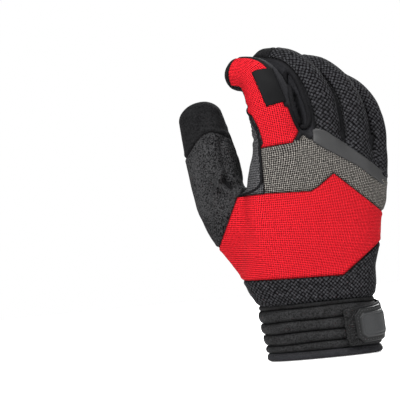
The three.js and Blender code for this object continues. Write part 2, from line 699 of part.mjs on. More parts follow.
// Colours and finishes
const finish = (color, roughness) => new THREE.MeshStandardMaterial({ color, roughness, metalness: 0 });
const materials = {
  suede: finish(0x2b2b2d, 0.95),
  mesh: finish(0x26272a, 0.9),
  red: finish(0xd8202c, 0.85),
  grey: finish(0x77726e, 0.85),
  gusset: finish(0x2f3032, 0.8),
  coated: finish(0x4b4b4c, 0.8),
  rubber: finish(0x3a3b3c, 0.55),
  neoprene: finish(0x303033, 0.7),
};
const PANEL_FINISH = {
  thumb_tip_cap: 'suede', thumb_panel: 'suede', web_strip: 'grey', red_back_panel: 'red',
  grey_knuckle_panel: 'grey', index_back_panel: 'red', finger_back_panel: 'mesh',
  lower_back_panel: 'mesh', palm_panel: 'suede', index_front_panel: 'suede',
  middle_front_panel: 'suede', ring_front_panel: 'suede', little_front_panel: 'suede',
  index_middle_gusset: 'gusset',
  middle_ring_gusset: 'gusset', ring_little_gusset: 'gusset', knuckle_strip: 'rubber',
  index_knuckle_patch: 'rubber', index_grip_patch: 'coated', middle_grip_patch: 'coated',
  ring_grip_patch: 'coated', little_grip_patch: 'coated', thumb_grip_patch: 'coated',
  palm_pad: 'coated', vent_binding: 'gusset', cuff_hem: 'gusset', cuff_rolls: 'neoprene',
  wrist_strap: 'neoprene', strap_hook_end: 'mesh', strap_tab_back: 'rubber',
  strap_tab_palm: 'rubber', pull_loop: 'red',
};

const glove = new THREE.Group();
for (const [name, solid] of panels) {
  const { vertProperties, triVerts } = solid.getMesh();
  const geometry = new THREE.BufferGeometry();
  geometry.setAttribute('position', new THREE.BufferAttribute(vertProperties, 3));
  geometry.setIndex(new THREE.BufferAttribute(triVerts, 1));
  const mesh = new THREE.Mesh(geometry, materials[PANEL_FINISH[name]]);
  mesh.name = name;
  glove.add(mesh);
}

export default glove;
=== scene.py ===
"""Anti vibration work glove for the right hand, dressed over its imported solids.

The hand, thumb and fingers are one rounded form given by a few tables. A net is laid over that
form, cut along the seams into the sewn panels, and every panel is drawn in at its seams.
Patches, pad, cuff, strap and stitches are laid on the same form. Lengths are in millimetres until
a mesh is made, and the axes are those of the frame: +Z to the fingertips, -Y the back of the hand.
"""

import math

import bpy
import numpy as np
from mathutils import Matrix, Vector


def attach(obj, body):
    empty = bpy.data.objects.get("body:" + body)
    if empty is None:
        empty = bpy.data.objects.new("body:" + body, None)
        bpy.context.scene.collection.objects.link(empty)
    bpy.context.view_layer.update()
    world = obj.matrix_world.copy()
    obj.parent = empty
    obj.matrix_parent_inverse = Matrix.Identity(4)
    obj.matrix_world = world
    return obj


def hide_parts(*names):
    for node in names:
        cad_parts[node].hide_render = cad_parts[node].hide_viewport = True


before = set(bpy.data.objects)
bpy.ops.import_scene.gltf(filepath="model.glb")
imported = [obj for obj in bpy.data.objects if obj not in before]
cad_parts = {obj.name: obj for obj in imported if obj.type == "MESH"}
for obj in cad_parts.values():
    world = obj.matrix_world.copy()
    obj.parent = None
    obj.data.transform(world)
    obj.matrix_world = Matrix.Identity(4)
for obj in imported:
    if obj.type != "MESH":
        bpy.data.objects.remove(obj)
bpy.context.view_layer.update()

bl_info = {
    "name": "Anti vibration glove",
    "version": (1, 0, 0),
    "blender": (4, 5, 0),
    "location": "View3D > Sidebar > Glove",
    "description": "Builds the sewn panels, pads, cuff and strap of a work glove",
    "category": "Add Mesh",
}

# Sections of the hand: height on its axis, centre, half sizes, turn about Z in degrees, bow of the
# middle towards the back, and fall towards the little finger per millimetre of x.
HAND_COLUMNS = ("z", "x", "y", "width", "depth", "turn", "arch", "slant")
HAND_ROWS = np.array([
    [39.8, -3.6, 0, 41.2, 26.6, 4, 0, 0],
    [49, -5.2, 0, 44.6, 26.6, 6, 0, 0],
    [60, -6.6, 1, 46.6, 26.0, 8, 1, 0],
    [80, -2.4, 3, 48.0, 24.5, 12, 3, 0.07],
    [100, 0.6, 6, 48.8, 22.0, 17, 5.5, 0.14],
    [120, 4.0, 9.5, 49.8, 18.5, 21, 8, 0.21],
    [138, 8.6, 13, 50.0, 15.0, 24.5, 10, 0.25],
    [148, 9.8, 14.5, 49.5, 12.5, 25, 10, 0.25],
    [154, 10.4, 15, 47.5, 10.0, 25, 10, 0.25],
    [158, 10.6, 15.5, 44.0, 8.0, 25, 10, 0.25],
])
HAND_SQUARENESS = 2.35
HAND_END, HAND_ROUND = 150.0, 9.0

# Joints of the fingers: centre, half width, half depth; turn is about Z at the knuckle.
FINGERS = {
    "index": (12, [[-19.0, -4, 124.0, 15.0, 12.0], [-21.5, -1, 172.0, 16.8, 13.2],
                   [-30.0, 9, 198.0, 13.8, 12.2], [-49.5, 25, 203.4, 11.2, 10.6]]),
    "middle": (24, [[10.5, 3, 125.0, 13.2, 12.0], [8.6, 7, 174.0, 14.6, 12.6],
                    [-6.0, 18, 203.0, 12.6, 11.4], [-31.5, 34, 209.6, 10.4, 10.0]]),
    "ring": (36, [[31.0, 12, 118.0, 11.5, 11.5], [31.5, 19, 168.0, 12.2, 11.4],
                  [16.5, 33.5, 197.0, 10.8, 10.4], [-9.5, 47, 205.5, 9.8, 9.4]]),
    "little": (46, [[42.5, 23, 108.0, 9.5, 10.0], [46.8, 33.5, 156.0, 10.8, 10.4],
                    [38.0, 44, 180.5, 10.0, 9.8], [16.5, 55, 195.5, 9.2, 9.0]]),
    "thumb": (-25, [[-33.0, 8, 60.0, 17.5, 15.0], [-59.5, 19, 104.0, 18.0, 15.5],
                    [-67.2, 29, 145.0, 18.9, 14.6], [-73.7, 37, 185.4, 15.0, 12.4]]),
}
FINGER_SQUARENESS = 2.15
TIP_ROUND = 11.0
WEB = {"from": (-30, 4, 104), "to": (-56, 16, 103), "width": 19.0, "depth": 11.0}
BACK_SEAMS = {"index": (-100, 22), "middle": (-33, 62), "ring": (-62, 62), "little": (-62, 95)}
PALM_SEAMS = {"index": (118, 260), "middle": (118, 242), "ring": (118, 242), "little": (95, 242)}
WEB_HEIGHT = {"index": 157, "middle": 154, "ring": 146}
SEAM_TO_TIP = {"index": 9.0, "middle": 18.0, "ring": 13.0, "little": 13.0}

# Outlines of the panels, x and z, seen from the back.
RED_OUTLINE = [
    (-51.8, 116.4), (-45, 117.6), (-0.5, 115.7), (5.4, 118.7), (16.7, 126.7), (49.5, 96.6),
    (70, 90), (70, 74), (46.5, 77), (16.2, 55.8), (-55.3, 57.7), (-80, 57.7), (-80, 64),
    (-68.5, 81.4)]
GREY_OUTLINE = [
    (-33, 116), (-33, 148.6), (-30.4, 148.8), (-9.9, 150.4), (-4.2, 158.3), (4.8, 158.0),
    (5.6, 154.5), (53.0, 119.5), (70, 112), (70, 88), (49.5, 94), (16.7, 120),
    (0, 110), (-33, 110)]
THUMB_OUTLINE = [
    (-75, 67), (-68.5, 81.4), (-51.8, 116.4), (-45.5, 121), (-43.5, 130), (-44, 150),
    (-48, 189), (-110, 192), (-110, 66)]
THUMB_ARCH = [(-92, 141), (-84.3, 148), (-76.4, 158.3), (-71, 162.6), (-65.6, 163.9), (-59, 162.0),
              (-52.8, 158.3), (-46, 153)]
INDEX_CORNER = [
    (-16, 177), (-10.5, 175.5), (-7.4, 164.5), (-4.6, 158.0), (-9.9, 149.0), (-22, 149)]
WEB_STRIP_OUTLINE = [
    (-51.5, 116.8), (-33.3, 116.8), (-33.3, 148.6), (-31, 152), (-33, 162), (-37, 172),
    (-46, 172), (-43.5, 130), (-45.5, 121.2)]
FINGER_BACK_OUTLINE = [(2, 200), (2, 150), (16.7, 121), (49.5, 90), (75, 80), (75, 200)]
LOWER_BACK_OUTLINE = [(-90, 30), (90, 30), (90, 90), (46, 90), (16, 70), (-90, 70)]
STRIP_OUTLINE = [
    (3.9, 149.6), (4.4, 158.0), (7.2, 159.2), (13.8, 156.8), (34, 140.4), (53.7, 123.8),
    (62, 117), (62, 106.7), (51.5, 114.8), (32.8, 130.4), (9.9, 145.0)]
FLEX_OUTLINE = [(-26.0, 176.5), (-34.0, 201.9), (-29.0, 203.6), (-18.8, 204.0), (-11.6, 179.4)]
PAD_OUTLINE = [
    (43.5, 139), (-17.5, 145.5), (-23.6, 141.5), (-26.0, 136.0), (-25.8, 119.0),
    (-30.0, 113.4), (-41.0, 109.0), (-47.5, 104.6), (-50.5, 96.7), (-51.0, 83.0),
    (-49.0, 72.0), (-45.5, 67.0), (-12.6, 57.0), (14.9, 50.8), (22.0, 50.4), (25.2, 53.6),
    (27.0, 61.0), (33.6, 85.0), (39.8, 112.6)]
PAD_ROWS = 1.5, 4.4
FOAM_OUTLINES = {
    "knuckle": [(20.5, 137.5), (-18, 141.6), (-21.5, 137), (-21, 117.5), (-12, 117.5),
                (6, 113.2), (19, 113.6)],
    "heel": [(24, 108.5), (8.5, 110.2), (-4.2, 109.6), (-6.4, 92), (-7.5, 70), (10, 63.5),
             (20, 62.5), (23.2, 78), (25.6, 92)],
    "thumb": [(-9.5, 108.8), (-22, 112.6), (-30, 110.6), (-42.5, 104.5), (-46, 96),
              (-46.6, 82), (-44.8, 71.5), (-12.5, 66.6), (-10.6, 90)],
}
SLIT_END = 46
SLIT_LEFT = [(-1, 24), (3, 28.5), (12, 31.2), (SLIT_END, 32.2)]
SLIT_RIGHT = [(-1, 38), (3, 35.4), (12, 34.2), (SLIT_END, 34.6)]
VENT_OUTLINE = [
    (33.2, 43.5), (30.6, 49), (29.8, 54), (31, 58.6), (33.6, 60.6), (36.2, 58.8), (37.2, 54),
    (36.2, 48)]

# Folds: side (-1 back, 1 palm), depth, half width and course in x and z.
FOLDS = [
    (-1, 1.7, 2.0, [(-58.3, 158.5), (-59.1, 150.2), (-58.7, 139.6), (-57.6, 128.9), (-55.3, 124.5)]),
    (-1, 2.4, 2.4, [(-58.5, 127.5), (-54.5, 124.0), (-50.0, 122.5)]),
    (-1, -1.4, 1.9, [(-60.5, 135.5), (-66.0, 122.7), (-68.9, 114.5)]),
    (-1, 1.1, 2.2, [(-66.6, 131.2), (-71.2, 119.7), (-75.0, 109.5)]),
    (-1, 1.0, 1.6, [(-63.5, 121.0), (-58.0, 115.0), (-53.5, 113.5)]),
    (-1, -0.5, 1.5, [(-52.5, 149.0), (-52.0, 141.0), (-53.0, 133.0)]),
    (-1, 0.5, 2.4, [(-50.0, 98.0), (-46.0, 92.0), (-44.0, 80.0)]),
    (-1, 0.35, 2.4, [(-40.0, 46.0), (-10.0, 48.5), (20.0, 47.0)]),
    (1, 0.9, 1.8, [(-14.0, 113.5), (-3.0, 111.8), (20.0, 110.8), (31.0, 109.0)]),
    (1, 0.9, 1.8, [(-7.2, 110.0), (-8.8, 90.0), (-10.0, 68.0)]),
    (1, 0.7, 1.6, [(-38.0, 155.0), (-26.0, 157.0), (-10.0, 156.5)]),
    (1, 0.6, 1.5, [(-4.0, 158.5), (8.0, 159.5), (20.0, 156.0)]),
    (1, 0.6, 1.5, [(22.0, 152.0), (33.0, 149.0), (42.0, 144.0)]),
    (1, 0.6, 1.5, [(-40.0, 178.0), (-28.0, 182.0), (-12.0, 180.0)]),
    (1, 0.5, 1.5, [(-6.0, 182.0), (6.0, 184.0), (20.0, 178.0)]),
    (1, 0.6, 1.8, [(-78.0, 128.0), (-66.0, 126.0), (-54.0, 128.0)]),
]

# The net's corners, where the cloth ends inside the cuff and how high up it is drawn in for it
NET_LOW, NET_HIGH = (-98, -36, 34), (68, 74, 228)
CLOTH_END, TUCK_TO, TUCK = 37.6, 43.5, 2.3

CUFF_TOP = 39.4
CUFF_WALL = 1.8
CUFF_SQUARENESS = 2.2
CUFF_RADIUS = 33
ROLLS = [(5.8, 2.4), (5.6, 2.6), (7.8, 2.9), (8.0, 2.9), (8.6, 2.8), (3.2, 1.4)]
STRAP_ROWS = np.array([[20, 19.4], [60, 20.6], [90, 22.4], [130, 24.2], [185, 24.4]])
STRAP_CLEAR, STRAP_THICK, STRAP_HALF = 3.35, 1.6, 13.3
STRAP_RADIUS = 36
# Angles at which the strap's pieces start, and their lengths and widths in mm
STRAP_START, STRAP_LENGTH, STRAP_WIDTH = 34, 95, 24
HOOK_START, HOOK_END = 20.4, 36
TAB_START, TAB_TURN, TAB_LENGTH, TAB_SHARE = 30.0, 51.0, 36.5, 0.9
PALM_TAB_START, PALM_TAB_LENGTH, PALM_TAB_WIDTH = 96, 52, 20
TAB_SLOPE, TAB_NARROW = 0.146, 0.62
LOOP_LENGTH, LOOP_WIDTH, RIB_PITCH = 56, 15, 1.1
LOOP = {"x": -18.0, "half": 7.5, "top": 38.0, "bottom": 1.6, "end": 19.0, "thick": 1.1, "fold": 1.3}


# Shapes of the form

def smooth(x, low, high):
    """3t^2 - 2t^3 of the share t of the way from low to high."""
    t = np.clip((x - low) / (high - low), 0, 1)
    return t * t * (3 - 2 * t)


def bell(x, middle, width):
    """exp(-((x - middle) / width)^2)."""
    return np.exp(-((x - middle) / width) ** 2)


def edge_distance(x, z, one, two):
    """Distance from the straight line between two points."""
    ex, ez = two[0] - one[0], two[1] - one[1]
    t = np.clip(((x - one[0]) * ex + (z - one[1]) * ez) / (ex * ex + ez * ez), 0, 1)
    return np.hypot(x - one[0] - t * ex, z - one[1] - t * ez)


def outline_depth(outline, x, z):
    """Distance to a closed outline, positive inside it: the least distance to its edges, with the
    sign from counting the edges to the right."""
    corners = np.array(outline, float)
    best = np.full(x.shape, 1e9)
    inside = np.zeros(x.shape, bool)
    for (ax, az), (bx, bz) in zip(corners, np.roll(corners, -1, 0)):
        best = np.minimum(best, edge_distance(x, z, (ax, az), (bx, bz)))
        if az != bz:
            between = (z >= min(az, bz)) & (z < max(az, bz))
            inside ^= between & (x < ax + (z - az) / (bz - az) * (bx - ax))
    return np.where(inside, best, -best)


def course_distance(course, x, z):
    """Distance from an open line of points in x and z."""
    return np.minimum.reduce([edge_distance(x, z, one, two)
                              for one, two in zip(course[:-1], course[1:])])


def lumps(p, size, seed):
    """Smooth noise of about -1 to 1: random values on a lattice of that size, blended between."""
    q = p / size + 1000.0
    cell = np.floor(q).astype(np.int64)
    t = q - cell
    t = t * t * (3 - 2 * t)
    total = np.zeros(len(p))
    for corner in range(8):
        d = np.array([corner & 1, (corner >> 1) & 1, (corner >> 2) & 1])
        c = cell + d
        h = (c[:, 0] * 73856093) ^ (c[:, 1] * 19349663) ^ (c[:, 2] * 83492791) ^ (seed * 2654435)
        value = (h * 1103515245 + 12345) % 65536 / 32768.0 - 1
        total += value * np.prod(np.where(d, t, 1 - t), axis=1)
    return total


def rounded_distance(u, v, width, depth, power, cap, cap_size):
    """Nearly the distance to a tube with a rounded end: R - 1 over the size of its gradient, where
    R^2 = r^2 + cap^2 and r^n = |u / width|^n + |v / depth|^n."""
    a, b = np.abs(u / width), np.abs(v / depth)
    r = np.maximum((a ** power + b ** power) ** (1 / power), 1e-4)
    rise = np.hypot((a / r) ** (power - 1) / width, (b / r) ** (power - 1) / depth)
    total = np.maximum(np.hypot(r, cap), 1e-4)
    slope = np.hypot(r * rise, cap / cap_size) / total
    return (total - 1) / np.maximum(slope, 1 / np.maximum(width, 1))


def catmull(points, t):
    """Catmull-Rom line through the points with tension 0.5; its ends go straight on."""
    points = np.asarray(points, float)
    padded = np.vstack([2 * points[0] - points[1], points, 2 * points[-1] - points[-2]])
    share = np.clip(t, 0, 1) * (len(points) - 1)
    i = np.minimum(share.astype(int), len(points) - 2)
    w = (share - i)[:, None]
    p0, p1, p2, p3 = (padded[i + k] for k in range(4))
    m1, m2 = (p2 - p0) / 2, (p3 - p1) / 2
    return p1 + m1 * w + (3 * (p2 - p1) - 2 * m1 - m2) * w ** 2 + (2 * (p1 - p2) + m1 + m2) * w ** 3


def edge_round(distance, radius):
    """Quarter round: sqrt(1 - (1 - t)^2) of the share t of the radius."""
    return np.sqrt(1 - (1 - np.clip(distance / radius, 0, 1)) ** 2)


def unit(a):
    return a / np.maximum(np.linalg.norm(a, axis=-1, keepdims=True), 1e-9)


def arc_length(path):
    """Length along a path up to each of its points."""
    return np.concatenate([[0], np.cumsum(np.linalg.norm(np.diff(path, axis=0), axis=1))])


def oval_point(turn, width, depth, power):
    """Point of |u / width|^power + |v / depth|^power = 1 at an angle from its v axis."""
    s, c = np.sin(turn), np.cos(turn)
    return (width * np.sign(s) * np.abs(s) ** (2 / power),
            depth * np.sign(c) * np.abs(c) ** (2 / power))


def finger_tube(turn, joints):
    """Centreline with its frames: the direction across starts from the turn about Z and is carried
    along without twisting; sizes run evenly from joint to joint."""
    joints = np.array(joints, float)
    t = np.linspace(0, 1, 97)
    line = catmull(joints[:, :3], t)
    at = arc_length(line)
    tangent = unit(np.gradient(line, at, axis=0))
    across = [np.array([math.cos(math.radians(turn)), math.sin(math.radians(turn)), 0])]
    for direction in tangent:
        across.append(unit(across[-1] - direction * (across[-1] @ direction)))
    across = np.array(across[1:])
    knots = np.linspace(0, 1, len(joints))
    return {
        "line": line, "at": at, "tangent": tangent, "across": across,
        "inward": np.cross(tangent, across), "width": np.interp(t, knots, joints[:, 3]),
        "depth": np.interp(t, knots, joints[:, 4]), "power": FINGER_SQUARENESS,
        "length": at[-1], "round": TIP_ROUND,
    }


def web_tube():
    """The skin between thumb and index finger: a short bar across, its height along Z."""
    start, end = np.array(WEB["from"], float), np.array(WEB["to"], float)
    at = np.linspace(0, np.linalg.norm(end - start), 9)
    tangent = np.tile(unit(end - start), (9, 1))
    line = start + tangent * at[:, None]
    across = unit(np.array([0, 0, 1]) - tangent * tangent[:, 2:])
    return {
        "line": line, "at": at, "tangent": tangent, "across": across,
        "inward": np.cross(tangent, across), "width": np.full(9, WEB["width"]),
        "depth": np.full(9, WEB["depth"]), "power": 2.0, "length": at[-1] + 6, "round": 6.0,
    }


TUBES = {name: finger_tube(*values) for name, values in FINGERS.items()}
TUBES["web"] = web_tube()
TUBE_KEYS = ("at", "sin", "cos", "gap", "size")
HAND_KEYS = ("z", "sin", "cos", "side", "gap", "size")


def smoothed_hand():
    """The hand's table every half millimetre, evened out over about 5 mm."""
    z = np.arange(30.0, 176.0, 0.5)
    kernel = np.exp(-np.linspace(-2.2, 2.2, 23) ** 2)
    kernel /= kernel.sum()
    table = {"z": z}
    for i, name in enumerate(HAND_COLUMNS[1:], 1):
        row = np.interp(z, HAND_ROWS[:, 0], HAND_ROWS[:, i])
        table[name] = np.convolve(np.pad(row, 11, mode="edge"), kernel, "valid")
    return table


HAND = smoothed_hand()


def hand_sense(p):
    """Where points lie on the hand: height on its axis, angle round it as sine and cosine, distance
    from its bowed middle (below 0 is the back), distance from its surface, and half width."""
    z = p[:, 2].copy()
    for _ in range(4):
        z = p[:, 2] + np.interp(z, HAND["z"], HAND["slant"]) * p[:, 0]
    row = {name: np.interp(z, HAND["z"], HAND[name]) for name in HAND_COLUMNS[1:]}
    turn = np.radians(row["turn"])
    dx, dy = p[:, 0] - row["x"], p[:, 1] - row["y"]
    u = dx * np.cos(turn) + dy * np.sin(turn)
    v = dy * np.cos(turn) - dx * np.sin(turn)
    v += row["arch"] * np.maximum(0, 1 - (u / row["width"]) ** 2)
    half = HAND_SQUARENESS / 2
    s = np.sign(u) * np.abs(u / row["width"]) ** half
    c = -np.sign(v) * np.abs(v / row["depth"]) ** half
    cap = np.maximum(0, (z - HAND_END) / HAND_ROUND)
    gap = rounded_distance(u, v, row["width"], row["depth"], HAND_SQUARENESS, cap, HAND_ROUND)
    norm = np.maximum(np.hypot(s, c), 1e-6)
    return [z, s / norm, c / norm, v, gap, row["width"]]


def tube_sense(tube, p, reach=14.0):
    """Where points lie on a finger: arc length, angle round it as sine and cosine (0 at the back),
    distance from its surface, half width. Points further off than reach get a large distance."""
    out = [np.zeros(len(p)), np.zeros(len(p)), np.full(len(p), -1.0), np.full(len(p), 60.0),
           np.full(len(p), 10.0)]
    grow = tube["width"].max() + reach
    near = ((p > tube["line"].min(0) - grow) & (p < tube["line"].max(0) + grow)).all(1)
    rows = np.nonzero(near)[0]
    for start in range(0, len(rows), 60000):
        take = rows[start:start + 60000]
        q = p[take]
        far = (tube["line"] ** 2).sum(1) - 2 * q @ tube["line"].T
        i = far.argmin(1)
        d = q - tube["line"][i]
        along = (d * tube["tangent"][i]).sum(1)
        at = tube["at"][i] + along
        u, v = (d * tube["across"][i]).sum(1), (d * tube["inward"][i]).sum(1)
        width = np.interp(at, tube["at"], tube["width"])
        depth = np.interp(at, tube["at"], tube["depth"])
        tip = tube["length"] - tube["round"]
        cap = np.maximum(0, (at - tip) / tube["round"]) + np.maximum(0, -at / tube["round"])
        gap = rounded_distance(u, v, width, depth, tube["power"], cap, tube["round"])
        s = np.sign(u) * np.abs(u / width) ** (tube["power"] / 2)
        c = -np.sign(v) * np.abs(v / depth) ** (tube["power"] / 2)
        norm = np.maximum(np.hypot(s, c), 1e-6)
        for target, value in zip(out, (at, s / norm, c / norm, gap, width)):
            target[take] = value
    return out


def blended(a, b, k):
    """Smooth least value: the lower of two distances, filleted over k."""
    h = np.clip(0.5 + 0.5 * (b - a) / k, 0, 1)
    return b + (a - b) * h - k * h * (1 - h)


def sense(p):
    """All places of the points as columns, the hand first and then each tube."""
    return np.stack(hand_sense(p) + [c for t in TUBES.values() for c in tube_sense(t, p)], 1)


def column(q, owner, key):
    if owner == "hand":
        return q[:, HAND_KEYS.index(key)]
    first = len(HAND_KEYS) + list(TUBES).index(owner) * len(TUBE_KEYS)
    return q[:, first + TUBE_KEYS.index(key)]


def form_distance(q):
    """Distance from the whole form: hand, web and thumb filleted together, then the fingers, which
    stay apart from each other."""
    gap = {name: column(q, name, "gap") for name in ("hand", *TUBES)}
    body = blended(gap["hand"], gap["web"], 8.0)
    body = blended(body, gap["thumb"], 8.0)
    fingers = np.minimum.reduce([gap[n] for n in ("index", "middle", "ring", "little")])
    return blended(body, fingers, 5.0)


def form_normals(p, step=0.4):
    """Direction in which the distance from the form grows, by central differences."""
    rise = [form_distance(sense(p + axis * step)) - form_distance(sense(p - axis * step))
            for axis in np.eye(3)]
    return np.stack(rise, 1) / (2 * step)


def settle(p, rounds=2, level=0.0):
    """Points moved on to the form's surface along its normals; returns them with unit normals."""
    for _ in range(rounds):
        slope = form_normals(p)
        size = np.maximum((slope ** 2).sum(1), 0.05)
        move = np.clip((form_distance(sense(p)) - level) / size, -3, 3)
        p = p - slope * move[:, None]
    return p, unit(slope)


def net_over(low, high, pitch, level=0.0):
    """Net over the form, as surface nets: one point in each lattice cell that the surface crosses,
    the mean of its crossings on the cell's edges, and a quad round each crossed lattice edge.
    Only lattice points near the surface, found on a coarse lattice, are worked out."""
    coarse = 5
    shape = [int(math.ceil((h - a) / pitch / coarse)) * coarse for a, h in zip(low, high)]
    big = [n // coarse for n in shape]
    axes = [a + (np.arange(n) + 0.5) * pitch * coarse for a, n in zip(low, big)]
    centres = np.stack(np.meshgrid(*axes, indexing="ij"), -1).reshape(-1, 3)
    rough = form_distance(sense(centres)) - level
    rough = rough.reshape(big)
    for axis in range(3):
        rough = np.repeat(rough, coarse, axis)
    field = np.where(rough < 0, -20.0, 20.0)
    near = np.nonzero(np.abs(rough) < pitch * coarse * 1.5 + 2)
    points = np.stack(near, 1) * pitch + np.array(low)
    values = np.concatenate([form_distance(sense(points[i:i + 300000])) - level
                             for i in range(0, len(points), 300000)])
    field[near] = values
    inside = field < 0
    part = [slice(0, -1), slice(1, None)]
    sides = [inside[part[a], part[b], part[c]] for a in (0, 1) for b in (0, 1) for c in (0, 1)]
    mixed = np.logical_or.reduce(sides) & ~np.logical_and.reduce(sides)
    number = np.full(mixed.shape, -1)
    cells = np.argwhere(mixed)
    number[mixed] = np.arange(len(cells))
    total, count = np.zeros((len(cells), 3)), np.zeros(len(cells))
    for axis in range(3):
        for b in (0, 1):
            for c in (0, 1):
                start = np.zeros(3, int)
                start[(axis + 1) % 3], start[(axis + 2) % 3] = b, c
                end = start.copy()
                end[axis] = 1
                one, two = field[tuple((cells + start).T)], field[tuple((cells + end).T)]
                crossed = (one < 0) != (two < 0)
                t = np.where(crossed, one / np.where(crossed, one - two, 1), 0)
                total += (cells + start + t[:, None] * (end - start)) * crossed[:, None]
                count += crossed
    points = np.array(low) + pitch * total / count[:, None]
    quads = []
    for axis in range(3):
        one, two = (axis + 1) % 3, (axis + 2) % 3
        lower = np.take(inside, range(inside.shape[axis] - 1), axis)
        upper = np.take(inside, range(1, inside.shape[axis]), axis)
        edges = np.argwhere(lower != upper)
        keep = ((edges[:, one] > 0) & (edges[:, one] < mixed.shape[one])
                & (edges[:, two] > 0) & (edges[:, two] < mixed.shape[two]))
        edges = edges[keep]
        outward = lower[tuple(edges.T)]
        ring = []
        for b, c in ((1, 1), (0, 1), (0, 0), (1, 0)):
            cell = edges.copy()
            cell[:, one] -= b
            cell[:, two] -= c
            ring.append(number[tuple(cell.T)])
        ring = np.stack(ring, 1)
        quads.append(np.where(outward[:, None], ring, ring[:, ::-1]))
    quads = np.concatenate(quads)
    return points, quads[(quads >= 0).all(1)]


def relaxed(p, quads, rounds=2):
    """Points moved half way to the mean of their neighbours, which evens the net out."""
    edges = np.concatenate([quads[:, [i, (i + 1) % 4]] for i in range(4)])
    for _ in range(rounds):
        count = np.bincount(edges.ravel(), minlength=len(p))
        mean = np.stack([np.bincount(edges[:, 0], p[edges[:, 1], k], len(p))
                         + np.bincount(edges[:, 1], p[edges[:, 0], k], len(p))
                         for k in range(3)], 1) / np.maximum(count, 1)[:, None]
        p = p + 0.5 * (mean - p)
    return p


def creases(p, q):
    """Height of folds and soft unevenness: each fold is a groove exp(-(d / w)^2) with a low swell
    beside it, where d is the distance from its course."""
    side = column(q, "hand", "side")
    thumb = column(q, "thumb", "gap") < 3
    facing = np.where(thumb, column(q, "thumb", "cos") * -8, side)
    height = 0.35 * lumps(p, 15, 3) + 0.14 * lumps(p, 6, 5)
    for where, depth, width, course in FOLDS:
        d = course_distance(course, p[:, 0], p[:, 2])
        shape = 0.45 * bell(d, 2.1 * width, width) - bell(d, 0, width)
        height += depth * shape * smooth(facing * where, -3, 3)
    return height


SHELL = {}


def shell(pitch):
    """The whole form as triangles: columns are the point, its normal and its places."""
    if pitch not in SHELL:
        p, quads = net_over(NET_LOW, NET_HIGH, pitch)
        p = relaxed(p, quads)
        p, n = settle(p, 2)
        q = sense(p)
        p = p + n * creases(p, q)[:, None]
        faces = np.concatenate([quads[:, [0, 1, 2]], quads[:, [0, 2, 3]]])
        values = np.hstack([p, n, q])
        SHELL[pitch], _ = split(values, faces, p[:, 2] - CLOTH_END)
    return SHELL[pitch]


def kept(values, faces):
    """Only the points that the faces use."""
    used, faces = np.unique(faces, return_inverse=True)
    return values[used], faces.reshape(-1, 3)


def split(values, faces, level):
    """Cuts a net of triangles along level = 0, where each crossed edge gets one point whose columns
    are blended linearly. Returns the part above and the part below."""
    level = np.where(np.abs(level) < 0.05, np.where(level < 0, -0.05, 0.05), level)
    into = level > 0
    count = into[faces].sum(1)
    cut = faces[(count == 1) | (count == 2)]
    lone = count[(count == 1) | (count == 2)] == 1
    odd = (into[cut] == lone[:, None]).argmax(1)
    rows = np.arange(len(cut))
    a, b, c = (cut[rows, (odd + k) % 3] for k in range(3))
    size = len(values)
    keys = np.concatenate([np.minimum(a, b) * size + np.maximum(a, b),
                           np.minimum(a, c) * size + np.maximum(a, c)])
    unique, place = np.unique(keys, return_inverse=True)
    low, high = unique // size, unique % size
    t = (level[low] / (level[low] - level[high]))[:, None]
    values = np.vstack([values, values[low] + (values[high] - values[low]) * t])
    p, r = size + place[:len(cut)], size + place[len(cut):]
    tip = np.stack([a, p, r], 1)
    rest = np.concatenate([np.stack([p, b, c], 1), np.stack([p, c, r], 1)])
    both = np.concatenate([lone, lone])
    above = np.concatenate([faces[count == 3], tip[lone], rest[~both]])
    below = np.concatenate([faces[count == 0], tip[~lone], rest[both]])
    return kept(values, above), kept(values, below)


def rim(faces):
    """Points on the edges that only one face uses."""
    k = faces.shape[1]
    edges = np.sort(np.concatenate([faces[:, [i, (i + 1) % k]] for i in range(k)]), 1)
    unique, count = np.unique(edges, axis=0, return_counts=True)
    return np.unique(unique[count == 1])


def nearest(p, others):
    """Distance from each point to the nearest of the others, up to 6 mm."""
    best = np.full(len(p), 6.0)
    if not len(others):
        return best
    order = np.argsort(others[:, 2])
    others = others[order].astype(np.float32)
    rows = np.argsort(p[:, 2])
    for start in range(0, len(rows), 1500):
        take = rows[start:start + 1500]
        q = p[take].astype(np.float32)
        low, high = np.searchsorted(others[:, 2], [q[:, 2].min() - 6, q[:, 2].max() + 6])
        if low < high:
            d = ((q[:, None, :] - others[None, low:high]) ** 2).sum(2).min(1)
            best[take] = np.minimum(np.sqrt(np.maximum(d, 0)), 6)
    return best


# Which part of the form each panel takes

def sector(q, name, low, high):
    """Positive between two angles round a finger, as a length along its surface."""
    angle = angle_round(q, name)
    off = np.abs((angle - (low + high) / 2 + 180) % 360 - 180)
    return ((high - low) / 2 - off) * math.pi / 180 * column(q, name, "size")


def angle_round(q, name):
    """Angle round the hand or a finger in degrees, 0 at the back."""
    return np.degrees(np.arctan2(column(q, name, "sin"), column(q, name, "cos")))


def at_height(name, z):
    return float(np.interp(z, TUBES[name]["line"][:, 2], TUBES[name]["at"]))


def until_tip(q, name):
    return TUBES[name]["length"] - SEAM_TO_TIP[name] - column(q, name, "at")


def on_tube(q, name, by=3.0):
    return by - column(q, name, "gap")


def over(outline):
    return lambda p, q: outline_depth(outline, p[:, 0], p[:, 2])


def all_of(*levels):
    return np.minimum.reduce(levels)


def any_of(*levels):
    return np.maximum.reduce(levels)


